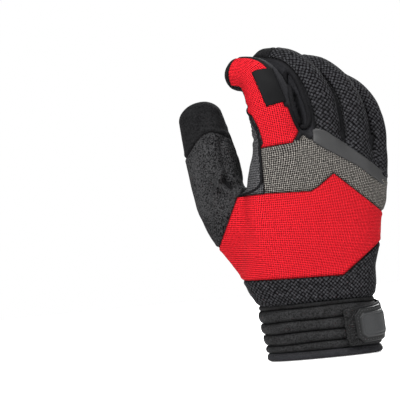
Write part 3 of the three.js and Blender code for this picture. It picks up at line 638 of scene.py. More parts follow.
def back(q):
    """Positive on the back: 12 times the mean cosine of the angles round hand, web and thumb, each
    weighted by exp(-gap / 2.5), and up to 0.45 more near the thumb, where the back wraps round."""
    weights = [np.exp(-np.maximum(column(q, n, "gap"), -4) / 2.5) for n in ("hand", "web", "thumb")]
    cosines = [column(q, n, "cos") for n in ("hand", "web", "thumb")]
    more = 0.45 * smooth(12 - np.minimum(column(q, "thumb", "gap"), column(q, "web", "gap")), 0, 8)
    return 12 * (sum(w * c for w, c in zip(weights, cosines)) / sum(weights) + more)


def thumb_tip(p, q):
    """Beyond an arched seam on the back of the thumb, and a straight one in front."""
    arched = p[:, 2] - np.interp(p[:, 0], *zip(*THUMB_ARCH))
    straight = column(q, "thumb", "at") - TUBES["thumb"]["length"] + 24
    share = smooth(column(q, "thumb", "cos"), -0.6, 0.0)
    return all_of(arched * share + straight * (1 - share), on_tube(q, "thumb"))


def thumb_body(p, q):
    return all_of(over(THUMB_OUTLINE)(p, q), on_tube(q, "thumb", 4.0))


def thumb_front(p, q):
    return all_of(thumb_body(p, q), -12 * (column(q, "thumb", "cos") + 0.2))


def index_corner(p, q):
    """The red cloth widens at its lower end."""
    return all_of(over(INDEX_CORNER)(p, q), back(q), on_tube(q, "index", 5.0))


def gusset(one, two):
    def level(p, q):
        z = WEB_HEIGHT[one] - 6
        here = all_of(sector(q, one, BACK_SEAMS[one][1], PALM_SEAMS[one][0]),
                      column(q, one, "at") - at_height(one, z), until_tip(q, one), on_tube(q, one))
        there = all_of(sector(q, two, PALM_SEAMS[two][1] - 360, BACK_SEAMS[two][0]),
                       column(q, two, "at") - at_height(two, z), until_tip(q, two), on_tube(q, two))
        ends = [np.array([np.interp(at_height(n, WEB_HEIGHT[one]), TUBES[n]["at"],
                                    TUBES[n]["line"][:, k]) for k in range(3)]) for n in (one, two)]
        centre = (ends[0] + ends[1]) / 2
        reach = np.linalg.norm(ends[0] - ends[1]) * 0.42
        turn = math.radians((FINGERS[one][0] + FINGERS[two][0]) / 2)
        dx, dy = p[:, 0] - centre[0], p[:, 1] - centre[1]
        across = dx * math.cos(turn) + dy * math.sin(turn)
        deep = dy * math.cos(turn) - dx * math.sin(turn)
        web = all_of(reach - np.abs(across), 7.5 - np.abs(deep),
                     6.5 - np.abs(p[:, 2] - WEB_HEIGHT[one] + 1.5))
        level_at = any_of(here, there, web)
        return all_of(level_at, -index_corner(p, q)) if one == "index" else level_at
    return level


def web_strip(p, q):
    return all_of(over(WEB_STRIP_OUTLINE)(p, q), 14 - p[:, 1])


def finger_back(p, q):
    fingers = [all_of(sector(q, n, *BACK_SEAMS[n]), until_tip(q, n), on_tube(q, n))
               for n in ("middle", "ring", "little")]
    return any_of(all_of(back(q), over(FINGER_BACK_OUTLINE)(p, q)), *fingers)


def index_back(p, q):
    finger = all_of(sector(q, "index", *BACK_SEAMS["index"]), until_tip(q, "index"),
                    on_tube(q, "index"))
    return any_of(finger, index_corner(p, q))


# Panels in the order in which they are cut out: node, level, material and record slot.
PANELS = [
    ("thumb_tip_cap", thumb_tip, "suede", "suede"),
    ("thumb_front", thumb_front, "suede", "suede"),
    ("thumb_panel", thumb_body, "rough_suede", "suede"),
    ("index_middle_gusset", gusset("index", "middle"), "stretch", "stretch_cloth"),
    ("middle_ring_gusset", gusset("middle", "ring"), "stretch", "stretch_cloth"),
    ("ring_little_gusset", gusset("ring", "little"), "stretch", "stretch_cloth"),
    ("web_strip", web_strip, "side_knit", "grey_knit"),
    ("red_back_panel", lambda p, q: all_of(back(q), over(RED_OUTLINE)(p, q)), "red", "red_mesh"),
    ("grey_knuckle_panel", lambda p, q: all_of(back(q), over(GREY_OUTLINE)(p, q)), "grey",
     "grey_mesh"),
    ("index_back_panel", index_back, "red", "red_mesh"),
    ("finger_back_panel", finger_back, "black_mesh", "black_mesh"),
    ("lower_back_panel", lambda p, q: all_of(back(q), over(LOWER_BACK_OUTLINE)(p, q)),
     "black_mesh", "black_mesh"),
]

# The palm's cloth is one piece with the fronts of the fingers
FINGER_FRONTS = tuple(name + "_front_panel" for name in BACK_SEAMS)

# Panels whose weave follows the hand or one finger only
WEAVES = {"red_back_panel": ("hand",), "grey_knuckle_panel": ("hand",), "lower_back_panel": ("hand",),
          "index_back_panel": ("index",)}


def hand_arc():
    """Arc length of the hand's section for each degree from its back, for half sizes 48 and 21."""
    section = oval_point(np.radians(np.arange(181)), 48, 21, HAND_SQUARENESS)
    return arc_length(np.stack(section, 1))


ARC = hand_arc()


def cloth_map(p, q, faces, owners=("hand", "index", "middle", "ring", "little", "thumb")):
    """Cloth coordinates of every face corner in millimetres: way round and way along the hand or
    finger that the face lies on. Cloth of the hand alone that reaches the thumb goes over there
    from the way round the hand into x - 0.6 y."""
    gaps = np.stack([column(q, n, "gap")[faces].mean(1) for n in owners], 1)
    gaps[:, 0] -= 0.6
    owner = gaps.argmin(1)
    uv = np.zeros((len(faces), 3, 2))
    for i, name in enumerate(owners):
        mine = owner == i
        corners = faces[mine]
        angle = angle_round(q, name)[corners]
        turned = angle.max(1) - angle.min(1) > 180
        angle = np.where(turned[:, None] & (angle < 0), angle + 360, angle)
        if name == "hand":
            way = np.interp(np.abs(angle), np.arange(181), ARC) * np.sign(angle)
            if len(owners) == 1 and p[:, 0].min() < -55:
                flat, share = (p[:, 0] - 0.6 * p[:, 1])[corners], smooth(-p[:, 0], 33, 47)[corners]
                off = np.median((way - flat)[(share > 0.05) & (share < 0.95)])
                way += (flat + off - way) * share
            uv[mine] = np.stack([way, column(q, name, "z")[corners]], 2)
        else:
            mean = TUBES[name]["width"].mean() * 0.97
            uv[mine] = np.stack([np.radians(angle) * mean, column(q, name, "at")[corners]], 2)
    return uv


# Meshes

def linear(code):
    """sRGB hex value as linear red, green, blue and alpha."""
    parts = [int(code[i:i + 2], 16) / 255 for i in (1, 3, 5)]
    return tuple(x / 12.92 if x <= 0.04045 else ((x + 0.055) / 1.055) ** 2.4 for x in parts) + (1.0,)


def make(name, p, faces, material, nodes=(), uv=None, edge=None):
    """Object from points in millimetres and faces of three or four corners, riding on the root."""
    mesh = bpy.data.meshes.new(name)
    corners = faces.shape[1]
    mesh.vertices.add(len(p))
    mesh.vertices.foreach_set("co", (np.asarray(p, float) / 1000).ravel())
    mesh.loops.add(faces.size)
    mesh.loops.foreach_set("vertex_index", faces.astype(np.int32).ravel())
    mesh.polygons.add(len(faces))
    mesh.polygons.foreach_set("loop_start", np.arange(0, faces.size, corners, dtype=np.int32))
    mesh.update(calc_edges=True)
    mesh.validate()
    mesh.polygons.foreach_set("use_smooth", np.ones(len(mesh.polygons), bool))
    if uv is not None:
        layer = mesh.uv_layers.new(name="cloth")
        layer.data.foreach_set("uv", np.asarray(uv, float).ravel())
    # seam: distance that the materials read to paint shade near seams, grooves and edges
    if edge is not None:
        mesh.attributes.new("seam", "FLOAT", "POINT").data.foreach_set("value", edge.astype(float))
    obj = bpy.data.objects.new(name, mesh)
    bpy.context.scene.collection.objects.link(obj)
    mesh.materials.append(MATERIALS[material])
    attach(obj, "root")
    if nodes:
        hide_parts(*nodes)
    return obj


def slab(outer, inner):
    """Closed body between two grids of points of the same size: both faces and the four rims."""
    rows, columns = outer.shape[:2]
    number = np.arange(rows * columns).reshape(rows, columns)
    far = number + rows * columns
    front = np.stack([number[:-1, :-1], number[:-1, 1:], number[1:, 1:], number[1:, :-1]], -1)
    rear = np.stack([far[:-1, :-1], far[1:, :-1], far[1:, 1:], far[:-1, 1:]], -1)
    rims = []
    for line, other in ((number[0, ::-1], far[0, ::-1]), (number[-1], far[-1]),
                        (number[:, 0], far[:, 0]), (number[::-1, -1], far[::-1, -1])):
        rims.append(np.stack([line[:-1], line[1:], other[1:], other[:-1]], -1))
    faces = np.concatenate([front.reshape(-1, 4), rear.reshape(-1, 4), *rims])
    return np.concatenate([outer.reshape(-1, 3), inner.reshape(-1, 3)]), faces


def outward(p, faces):
    """Faces turned the right way out, by the sign of the body's volume."""
    a, b, c = p[faces[:, 0]], p[faces[:, 1]], p[faces[:, 2]]
    volume = (a * np.cross(b, c)).sum()
    if faces.shape[1] == 4:
        volume += (a * np.cross(c, p[faces[:, 3]])).sum()
    return faces if volume > 0 else faces[:, ::-1]


def spaced(path, step, closed=False):
    """Path resampled at even steps of its length."""
    path = np.asarray(path, float)
    if closed:
        path = np.vstack([path, path[:1]])
    length = arc_length(path)
    count = max(2, int(round(length[-1] / step)) + 1)
    at = np.linspace(0, length[-1], count)
    return np.stack([np.interp(at, length, path[:, k]) for k in range(path.shape[1])], 1)


def eased(path, rounds=2, closed=False):
    """Path with its corners rounded by cutting them at a quarter of each edge."""
    path = np.asarray(path, float)
    for _ in range(rounds):
        after = np.roll(path, -1, 0) if closed else path[1:]
        before = path if closed else path[:-1]
        cut = np.stack([0.75 * before + 0.25 * after, 0.25 * before + 0.75 * after], 1)
        cut = cut.reshape(-1, path.shape[1])
        path = cut if closed else np.vstack([path[:1], cut, path[-1:]])
    return path


def laid(course, side, lift=0.0):
    """Points of an x, z course put on the form, seen from the back (-1) or the palm (1): the first
    crossing on a line along Y, then settled. Returns points lifted off it, and normals."""
    course = np.asarray(course, float)
    depth = np.arange(-46, 76, 0.75)[::-1 if side > 0 else 1]
    p = np.stack([np.repeat(course[:, 0], len(depth)), np.tile(depth, len(course)),
                  np.repeat(course[:, 1], len(depth))], 1)
    gap = form_distance(sense(p)).reshape(len(course), len(depth))
    hit = gap < 0
    first = np.where(hit.any(1), hit.argmax(1), gap.argmin(1))
    p = np.stack([course[:, 0], depth[first], course[:, 1]], 1)
    p, n = settle(p, 3)
    lift = np.asarray(lift).reshape(-1, 1) + creases(p, sense(p))[:, None]
    return p + n * lift, n


def finger_course(name, angle, start, end, lift):
    """Line on a finger at an angle round it, between two arc lengths."""
    tube = TUBES[name]
    at = np.linspace(start, end, 60)
    value = {k: np.stack([np.interp(at, tube["at"], tube[k][:, i]) for i in range(3)], 1)
             for k in ("line", "across", "inward")}
    size = {k: np.interp(at, tube["at"], tube[k]) for k in ("width", "depth")}
    turn = np.radians(np.broadcast_to(angle, at.shape))
    cap = np.clip((at - tube["length"] + tube["round"]) / tube["round"], 0, 0.97)
    close = np.sqrt(1 - cap ** 2)
    u, v = oval_point(turn, size["width"] * close, -size["depth"] * close, tube["power"])
    p = value["line"] + value["across"] * u[:, None] + value["inward"] * v[:, None]
    p, n = settle(p, 2)
    return p + n * (lift + creases(p, sense(p)))[:, None], n


def stitches(paths, length, gap, thick):
    """Threads along paths of points and normals: a short fat spindle for each stitch, its middle
    highest and its ends 0.1 (1 - cos 3t) lower. Returns the points and triangles of them all."""
    ring = np.linspace(0, 2 * math.pi, 6, endpoint=False)
    along = np.array([-0.5, -0.36, 0.0, 0.36, 0.5])
    fat = np.array([0.25, 0.8, 1.0, 0.8, 0.25])
    template = np.stack([np.repeat(along * length, 6),
                         np.tile(np.cos(ring), 5) * np.repeat(fat, 6) * thick / 2,
                         np.tile(np.sin(ring), 5) * np.repeat(fat, 6) * thick / 2
                         - np.repeat(1 - np.cos(along * 3), 6) * 0.1], 1)
    number = np.arange(30).reshape(5, 6)
    side = np.stack([number[:-1], np.roll(number[:-1], -1, 1), np.roll(number[1:], -1, 1),
                     number[1:]], -1).reshape(-1, 4)
    faces = np.concatenate([side[:, [0, 1, 2]], side[:, [0, 2, 3]],
                            [[0, i + 1, i] for i in range(1, 5)],
                            [[24, 24 + i, 25 + i] for i in range(1, 5)]])
    points, every = [], []
    total = 0
    for path, normals in paths:
        both = spaced(np.hstack([path, normals]), 0.5)
        run = arc_length(both[:, :3])
        centres = np.arange(length / 2, run[-1] - length / 2, length + gap)
        if not len(centres):
            continue
        at = [np.stack([np.interp(centres + d, run, both[:, k]) for k in range(6)], 1)
              for d in (-length / 2, 0, length / 2)]
        x = unit(at[2][:, :3] - at[0][:, :3])
        z = unit(at[1][:, 3:] - x * (at[1][:, 3:] * x).sum(1, keepdims=True))
        y = np.cross(z, x)
        base = (at[0][:, :3] + at[1][:, :3] + at[2][:, :3]) / 3
        p = (base[:, None] + template[None, :, :1] * x[:, None] + template[None, :, 1:2] * y[:, None]
             + template[None, :, 2:] * z[:, None])
        points.append(p.reshape(-1, 3))
        first = total + np.arange(len(centres)) * 30
        every.append((faces[None] + first[:, None, None]).reshape(-1, 3))
        total += len(centres) * 30
    return np.concatenate(points), np.concatenate(every)


def tube_along(path, normals, radius, sides=10, closed=False):
    """Round tube: a circle of the radius in the plane across the path, carried along it."""
    path, normals = np.asarray(path), np.asarray(normals)
    if closed:
        ahead, behind = np.roll(path, -1, 0), np.roll(path, 1, 0)
    else:
        ahead, behind = np.vstack([path[1:], path[-1:]]), np.vstack([path[:1], path[:-1]])
    x = unit(ahead - behind)
    z = unit(normals - x * (normals * x).sum(1, keepdims=True))
    y = np.cross(z, x)
    turn = np.linspace(0, 2 * math.pi, sides, endpoint=False)
    radius = np.broadcast_to(radius, len(path))
    close = np.ones(len(path)) if closed else np.clip(
        np.minimum(np.arange(len(path)), np.arange(len(path))[::-1]) / 2.0, 0.05, 1) ** 0.5
    reach = (radius * close)[:, None, None]
    p = path[:, None] + reach * (np.cos(turn)[None, :, None] * y[:, None]
                                 + np.sin(turn)[None, :, None] * z[:, None])
    number = np.arange(len(path) * sides).reshape(len(path), sides)
    near = number if closed else number[:-1]
    far = np.roll(number, -1, 0) if closed else number[1:]
    faces = np.stack([near, np.roll(near, -1, 1), np.roll(far, -1, 1), far], -1).reshape(-1, 4)
    p = p.reshape(-1, 3)
    if not closed:
        step = np.arange(0, sides - 2, 2)
        cap = np.stack([0 * step, step + 3, step + 2, step + 1], 1)[:-1]
        cap = np.vstack([cap, [0, sides - 1, sides - 2, sides - 3]])
        faces = np.concatenate([faces, cap, cap[:, ::-1] + (len(path) - 1) * sides])
    return p, outward(p, faces)


# Materials

MATERIALS = {}


def add(tree, kind, inputs=None, **settings):
    """A node with its settings, and its inputs set to values or linked from sockets."""
    node = tree.nodes.new(kind)
    for key, value in settings.items():
        setattr(node, key, value)
    for key, value in (inputs or {}).items():
        if isinstance(value, bpy.types.NodeSocket):
            tree.links.new(value, node.inputs[key])
        else:
            node.inputs[key].default_value = value
    return node


def blank(name):
    """Empty material with a principled shader."""
    material = bpy.data.materials.new(name)
    material.use_nodes = True
    material.node_tree.nodes.clear()
    tree = material.node_tree
    shader = add(tree, "ShaderNodeBsdfPrincipled")
    output = add(tree, "ShaderNodeOutputMaterial")
    tree.links.new(shader.outputs["BSDF"], output.inputs["Surface"])
    return material, tree, shader


def mixed_colour(tree, share, one, two):
    """Colour between two colours or sockets by a share."""
    return add(tree, "ShaderNodeMix", {0: share, 6: one, 7: two}, data_type="RGBA").outputs[2]


def woven_place(tree, pitch, turn):
    """Cloth coordinates turned by an angle and counted in cells of the pitch in mm."""
    cloth = add(tree, "ShaderNodeUVMap", uv_map="cloth")
    return add(tree, "ShaderNodeMapping", {
        "Vector": cloth.outputs["UV"], "Rotation": (0, 0, math.radians(turn)),
        "Scale": (1 / pitch[0], 1 / pitch[1], 1)}).outputs["Vector"]


def spread_out(tree, value, low, high):
    """Share from 0 to 1 of a value between low and high."""
    return add(tree, "ShaderNodeMapRange", {"Value": value, "From Min": low,
                                            "From Max": high}).outputs[0]


def seam_shaded(tree, colour, reach, least):
    """Colour times a factor that rises from least at the seam to 1 at the reach in mm: shade painted
    into the colour near seams, grooves and edges.
    """
    seam = add(tree, "ShaderNodeAttribute", attribute_name="seam")
    share = add(tree, "ShaderNodeMapRange", {"Value": seam.outputs["Fac"], "From Min": 0.0,
                                             "From Max": reach, "To Min": least, "To Max": 1.0})
    return add(tree, "ShaderNodeMix", {0: 1.0, 6: colour, 7: share.outputs[0]},
               data_type="RGBA", blend_type="MULTIPLY").outputs[2]


def surfaced(tree, shader, colour, height, relief, distance, rough, specular, invert=False):
    """Gives a shader its colour, relief from a height, roughness and gloss."""
    tree.links.new(colour, shader.inputs["Base Color"])
    bump = add(tree, "ShaderNodeBump", {"Strength": relief, "Distance": distance,
                                        "Height": height}, invert=invert)
    tree.links.new(bump.outputs["Normal"], shader.inputs["Normal"])
    shader.inputs["Roughness"].default_value = rough
    shader.inputs["Specular IOR Level"].default_value = specular


def open_mesh(name, yarn, light, hole, pitch, opening, turn=0.0, fleck=0.25, rough=0.85,
              relief=0.35, jitter=0.1, raised=None):
    """Warp-knitted mesh: holes on a lattice of the pitch in mm, each a cell's middle as far as
    opening; yarn colour wanders with the stitches; the yarn stands above the holes, and shade is
    painted into the colour at its seams. With a second colour in raised the cells' middles are knots
    instead, which stand up and wander in colour up to it: a painted highlight on the knots, varied at
    random."""
    material, tree, shader = blank(name)
    place = woven_place(tree, pitch, turn)
    cells = add(tree, "ShaderNodeTexVoronoi", {"Vector": place, "Scale": 1.0,
                                               "Randomness": jitter}, voronoi_dimensions="2D")
    closed = add(tree, "ShaderNodeMapRange", {
        "Value": cells.outputs["Distance"], "From Min": opening * 0.55, "From Max": opening * 1.25},
        interpolation_type="SMOOTHSTEP").outputs[0]
    wander = add(tree, "ShaderNodeTexNoise", {"Vector": place, "Scale": 0.9, "Detail": 3.0,
                                              "Roughness": 0.7}, noise_dimensions="2D")
    spread = spread_out(tree, wander.outputs["Fac"], 0.5 - fleck, 0.5 + fleck)
    yarns = mixed_colour(tree, spread, linear(yarn), linear(light))
    middle = mixed_colour(tree, spread, linear(hole), linear(raised)) if raised else linear(hole)
    # Shade painted into the colour near the seam: down to 0.22 at it, full 1.3 mm away
    colour = seam_shaded(tree, mixed_colour(tree, closed, middle, yarns), 1.3, 0.22)
    surfaced(tree, shader, colour, closed, relief, 0.0006, rough, 0.05, bool(raised))
    return material


def nap(name, dark, light, grain, cloud, rough=0.9, relief=0.4, sheen=0.0, speck=0.18, edge=0):
    """Napped or coated surface: colour between dark and light by fine grain and slow clouds, both
    in mm, with the grain as relief; shade is painted into it up to edge mm from its seam."""
    material, tree, shader = blank(name)
    place = add(tree, "ShaderNodeTexCoord").outputs["Object"]
    fine = add(tree, "ShaderNodeTexNoise", {"Vector": place, "Scale": 1000 / grain, "Detail": 4.0,
                                            "Roughness": 0.65}).outputs["Fac"]
    slow = add(tree, "ShaderNodeTexNoise", {"Vector": place, "Scale": 1000 / cloud, "Detail": 3.0})
    much = add(tree, "ShaderNodeMath", {0: fine, 1: 0.8}, operation="MULTIPLY")
    some = add(tree, "ShaderNodeMath", {0: slow.outputs["Fac"], 1: 0.2}, operation="MULTIPLY")
    total = add(tree, "ShaderNodeMath", {0: much.outputs[0], 1: some.outputs[0]}, operation="ADD")
    share = spread_out(tree, total.outputs[0], 0.5 - speck, 0.5 + speck)
    colour = mixed_colour(tree, share, linear(dark), linear(light))
    # Painted shade near the seam, groove or edge that the seam attribute marks
    if edge:
        colour = seam_shaded(tree, colour, edge, 0.25)
    surfaced(tree, shader, colour, fine, relief, 0.0004, rough, 0.22 if rough < 0.6 else 0.06)
    shader.inputs["Sheen Weight"].default_value = sheen
    shader.inputs["Sheen Roughness"].default_value = 0.45
    return material


def ribbed(name, dark, light, pitch, relief):
    """Webbing: the product of sine ribs of the pitch in mm along both diagonals of the cloth
    coordinates, in height and colour, and a wandering noise in the colour."""
    material, tree, shader = blank(name)
    place = woven_place(tree, (pitch, pitch), 45)
    rows, cross = (add(tree, "ShaderNodeTexWave", {"Vector": place, "Scale": 0.318, "Distortion": 0.6,
                                                   "Detail": 1.0}, bands_direction=way)
                   for way in "XY")
    height = add(tree, "ShaderNodeMath", {0: rows.outputs["Fac"], 1: cross.outputs["Fac"]},
                 operation="MULTIPLY").outputs[0]
    wander = add(tree, "ShaderNodeTexNoise", {"Vector": place, "Scale": 0.7, "Detail": 3.0},
                 noise_dimensions="2D")
    both = add(tree, "ShaderNodeMath", {0: height, 1: wander.outputs["Fac"]}, operation="MULTIPLY")
    share = spread_out(tree, both.outputs[0], 0.0, 0.5)
    colour = mixed_colour(tree, share, linear(dark), linear(light))
    surfaced(tree, shader, colour, height, relief, 0.0004, 0.7, 0.15)
    return material


def make_materials(colours):
    """All finishes of the glove."""
    MATERIALS.update({
        # Warp-knitted polyester mesh over foam, dyed red: dull, with a fine grid of holes
        "red": open_mesh("red_polyester_mesh", colours.red, "#e42a36", "#5c060d", (1.25, 1.15),
                         0.38, relief=0.9, fleck=0.3),
        # Two-tone polyester mesh, grey and beige yarns
        "grey": open_mesh("grey_heather_mesh", colours.grey, "#bcb6ae", "#080808", (1.3, 1.25),
                          0.5, fleck=0.2, relief=1.0),
        # Finer heather knit of the strip along the index finger
        "side_knit": open_mesh("grey_heather_side_knit", "#3a3a3c", "#7c7c7e", "#0b0b0c", (1.15, 1.1),
                               0.46, fleck=0.2, relief=0.8),
        # Coarse black spacer mesh with lozenge dimples about 2 mm apart; the light colour of its raised
        # knots is a painted highlight
        "black_mesh": open_mesh("black_spacer_mesh", "#040405", "#0c0c0d", "#151516", (2.25, 2.0),
                                0.46, turn=45, relief=1.0, fleck=0.22, jitter=0.25,
                                raised="#424245"),
        # edge below is the reach in mm of the shade painted in near a seam, groove or edge
        # Synthetic suede of the palm: short dense nap, even
        "suede": nap("black_synthetic_suede", "#070708", "#202021", 1.1, 11.0, relief=0.7, speck=0.12,
                     sheen=0.02, edge=0.9),
        # Coarser suede of the thumb, which catches light at its grain
        "rough_suede": nap("black_coarse_suede", "#010102", "#3e3e3f", 1.0, 30.0, relief=1.0,
                           speck=0.09, edge=0.9),
        # Smooth stretch cloth of the fourchettes
        "stretch": nap("black_stretch_cloth", "#161618", "#2c2c2f", 0.8, 7.0, relief=0.3,
                       rough=0.7, sheen=0.04, edge=4.5),
        # Moulded rubber, satin
        "rubber": nap("grey_moulded_rubber", "#303031", "#3b3b3b", 0.4, 12.0, rough=0.5,
                      relief=0.12, edge=0.7),
        # Darker moulded rubber of the strap's tabs, satin
        "tab": nap("black_moulded_rubber", "#2a2b2c", "#373839", 0.4, 12.0, rough=0.42,
                   relief=0.12, edge=0.9),
        # Smooth polyurethane coating of the patch over the finger joint
        "coating": nap("black_smooth_coating", "#0e0e0f", "#151516", 0.4, 10.0, rough=0.62,
                       relief=0.1, edge=0.7),
        # Coated knit of the palm cover and grip patches: rows of tiny dots
        "coated": open_mesh("grey_coated_knit", "#434345", "#626264", "#0e0e0f", (1.05, 0.95), 0.42,
                            relief=0.8, fleck=0.3, rough=0.62),
        # Neoprene faced with jersey: soft, slight sheen; shade is painted into the grooves between the
        # rolls
        "neoprene": nap("black_neoprene_jersey", "#101010", "#303031", 1.0, 9.0, rough=0.66,
                        relief=0.6, speck=0.1, edge=1.0),
        "hem": nap("black_hem_binding", "#18181a", "#303033", 1.0, 9.0, rough=0.7, relief=0.4,
                   sheen=0.02),
        # Rolled edge tape, matt
        "piping": nap("black_edge_piping", "#0a0a0b", "#1c1c1e", 0.9, 9.0, rough=0.8, relief=0.3),
        "strap": ribbed("black_strap_webbing", "#0e0e0f", "#262628", 0.8, 0.4),
        "hook": nap("black_hook_tape", "#010101", "#1a1a1b", 1.3, 4.0, rough=0.55, relief=1.0,
                    speck=0.1),
        "webbing": ribbed("red_polyester_webbing", "#7d0b14", "#cf1c28", 0.9, 0.6),
        "thread": nap("black_bonded_thread", "#0f0f10", "#262628", 0.3, 5.0, rough=0.55, relief=0.3),
        "light_thread": nap("grey_bonded_thread", "#3c3c3e", "#5c5c5e", 0.3, 5.0, rough=0.55,
                            relief=0.3),
        "lining": nap("black_tricot_lining", "#0c0c0d", "#1a1a1b", 0.7, 8.0, relief=0.3),
        "paper": nap("white_backdrop_paper", "#f7f7f7", "#ffffff", 30.0, 900.0, rough=0.9, relief=0.0),
    })
    # The paper looks white in the picture without lighting the glove from below
    tree = MATERIALS["paper"].node_tree
    shader = tree.nodes["Principled BSDF"]
    shader.inputs["Emission Color"].default_value = (0.75, 0.75, 0.75, 1)
    tree.links.new(add(tree, "ShaderNodeLightPath").outputs["Is Camera Ray"],
                   shader.inputs["Emission Strength"])


# Settings

class GloveCloth(bpy.types.PropertyGroup):
    """Sizes of the sewn cloth."""

    pitch: bpy.props.FloatProperty(
        name="Net", description="Distance between the points of the net, in mm", default=0.95,
        min=0.7, max=3)
    seam: bpy.props.FloatProperty(
        name="Seam", description="Depth of a seam, in mm", default=0.75, min=0, max=2)
    stitch: bpy.props.FloatProperty(
        name="Stitch", description="Length of a stitch, in mm", default=2.2, min=1, max=5)
    thread: bpy.props.FloatProperty(
        name="Thread", description="Thickness of the thread, in mm", default=0.5, min=0.2, max=1)


class GloveColours(bpy.types.PropertyGroup):
    """Colours of the glove, as sRGB hex values."""

    red: bpy.props.StringProperty(
        name="Red mesh", description="Yarn of the red mesh", default="#ce141f")
    grey: bpy.props.StringProperty(
        name="Grey mesh", description="Yarn of the grey mesh", default="#6c6966")


def cloth():
    return bpy.context.scene.glove_cloth


def net_pitch():
    return cloth().pitch * 1.0


# Operators

class GLOVE_OT_materials(bpy.types.Operator):
    """Makes the finishes of the glove"""

    bl_idname = "glove.materials"
    bl_label = "Materials"

    def execute(self, context):
        make_materials(context.scene.glove_colours)
        return {"FINISHED"}


def drawn_in(edge, depth):
    """Height of a panel near its seam: it dips by the depth at the seam and swells a little beside
    it, -depth exp(-(e / 0.9)^2) + 0.3 exp(-((e - 2.3) / 1.3)^2)."""
    return 0.3 * bell(edge, 2.3, 1.3) - depth * bell(edge, 0, 0.9)


class GLOVE_OT_panels(bpy.types.Operator):
    """Cuts the form into its sewn panels and draws them in at the seams"""

    bl_idname = "glove.panels"
    bl_label = "Sewn panels"

    def execute(self, context):
        rest = shell(net_pitch())
        panels = []
        for node, level, material, slot in PANELS:
            values, faces = rest
            part, rest = split(values, faces, level(values[:, :3], values[:, 6:]))
            panels.append((node, part, material, slot))
        values, faces = rest
        vent = outline_depth(VENT_OUTLINE, values[:, 0], values[:, 2])
        slit = np.minimum(np.interp(values[:, 2], *zip(*SLIT_RIGHT)) - values[:, 0],
                          values[:, 0] - np.interp(values[:, 2], *zip(*SLIT_LEFT)))
        slit = np.minimum(slit, SLIT_END - values[:, 2])
        hole = np.minimum(np.maximum(vent, slit), values[:, 1] - 8)
        _, rest = split(values, faces, hole)
        panels.append(("palm_panel", rest, "suede", "suede"))
        for node, (values, faces), material, slot in panels:
            p, n, q = values[:, :3], values[:, 3:6], values[:, 6:]
            edge = nearest(p, p[rim(faces)])
            tuck = TUCK * (1 - smooth(values[:, 2], CLOTH_END, TUCK_TO)) ** 1.6
            out = p + n * (drawn_in(edge, cloth().seam) - tuck)[:, None]
            nodes = {"palm_panel": ("palm_panel", *FINGER_FRONTS), "thumb_front": ()}.get(node, (node,))
            way = cloth_map(p, q, faces, *([WEAVES[node]] if node in WEAVES else []))
            # edge, the distance from the seam, also sets the shade painted into the cloth near it
            make(node + "_cloth", out, faces, material, nodes, way, edge)
        return {"FINISHED"}


# Depth of a patch's edge below the cloth under it
SINK = 0.9


def lifted(name, node, level, height, material, edge_width=1.3, dark=1.5):
    """Patch on the form: the part where level is above 0, lifted by the height and rounded down
    below the surface at its edge, where shade is painted into its colour unless dark is added to the
    distance."""
    values, faces = shell(net_pitch())
    level_at = level(values[:, :3], values[:, 6:])
    values, faces = kept(values, faces[level_at[faces].max(1) > -1])
    (values, faces), _ = split(values, faces, level(values[:, :3], values[:, 6:]))
    p, n, q = values[:, :3], values[:, 3:6], values[:, 6:]
    edge = np.maximum(level(p, q), 0)
    top = height(p, q, edge) if callable(height) else height
    out = p + n * ((top + SINK) * edge_round(edge, edge_width) - SINK)[:, None]
    return make(name, out, faces, material, (node,), cloth_map(p, q, faces), edge + dark)


def oval(name, angle, half_angle, middle, half):
    """Positive inside an oval on a finger, about an angle and an arc length."""
    def level(p, q):
        a = ((angle_round(q, name) - angle + 180) % 360 - 180) / half_angle
        b = (column(q, name, "at") - middle) / half
        wide = math.radians(half_angle) * 10.5
        inside = (1 - (np.abs(a) ** 2.6 + np.abs(b) ** 2.6) ** (1 / 2.6)) * min(wide, half)
        return np.minimum(inside, 3 - column(q, name, "gap"))
    return level


def strip_level(p, q):
    return all_of(over(STRIP_OUTLINE)(p, q), back(q) + 2)


def flex_level(p, q):
    return all_of(over(FLEX_OUTLINE)(p, q), sector(q, "index", -78, 88), on_tube(q, "index"))


class GLOVE_OT_patches(bpy.types.Operator):
    """Lays the knuckle strip, the joint patch and the grip patches on the panels"""

    bl_idname = "glove.patches"
    bl_label = "Patches"

    def execute(self, context):
        # The strip and the joint patch, with dark 0, get the full painted shade at their edges
        # The strip runs out flat on the little finger's side
        lifted("knuckle_strip_rubber", "knuckle_strip", strip_level,
               lambda p, q, edge: 0.9 - 0.9 * smooth(p[:, 0], 45, 54), "rubber",
               0.6, dark=0.0)
        lifted("index_knuckle_coating", "index_knuckle_patch", flex_level, 0.8, "coating",
               0.6, dark=0.0)
        for name, start in (("index", 26), ("middle", 26), ("ring", 26), ("little", 28)):
            middle = TUBES[name]["length"] - (start + 2) / 2
            lifted(name + "_grip_knit", name + "_grip_patch", oval(name, 164, 46, middle, start / 2),
                   1.1, "coated")
        middle = at_height("thumb", 134.5)
        lifted("thumb_grip_knit", "thumb_grip_patch", oval("thumb", 140, 27, middle, 12), 1.1,
               "coated")
        return {"FINISHED"}


def softened(outline, step=6.0):
    """Outline with its corners rounded over about the step."""
    return eased(spaced(outline, step, True)[:-1], 2, True)


def pad_level(p, q):
    vent = -outline_depth(VENT_OUTLINE, p[:, 0], p[:, 2]) - 3
    side = np.minimum(column(q, "hand", "side") + 1, 2 - back(q))
    return all_of(over(PAD_EDGE)(p, q), side, vent)


PAD_EDGE = softened(PAD_OUTLINE)


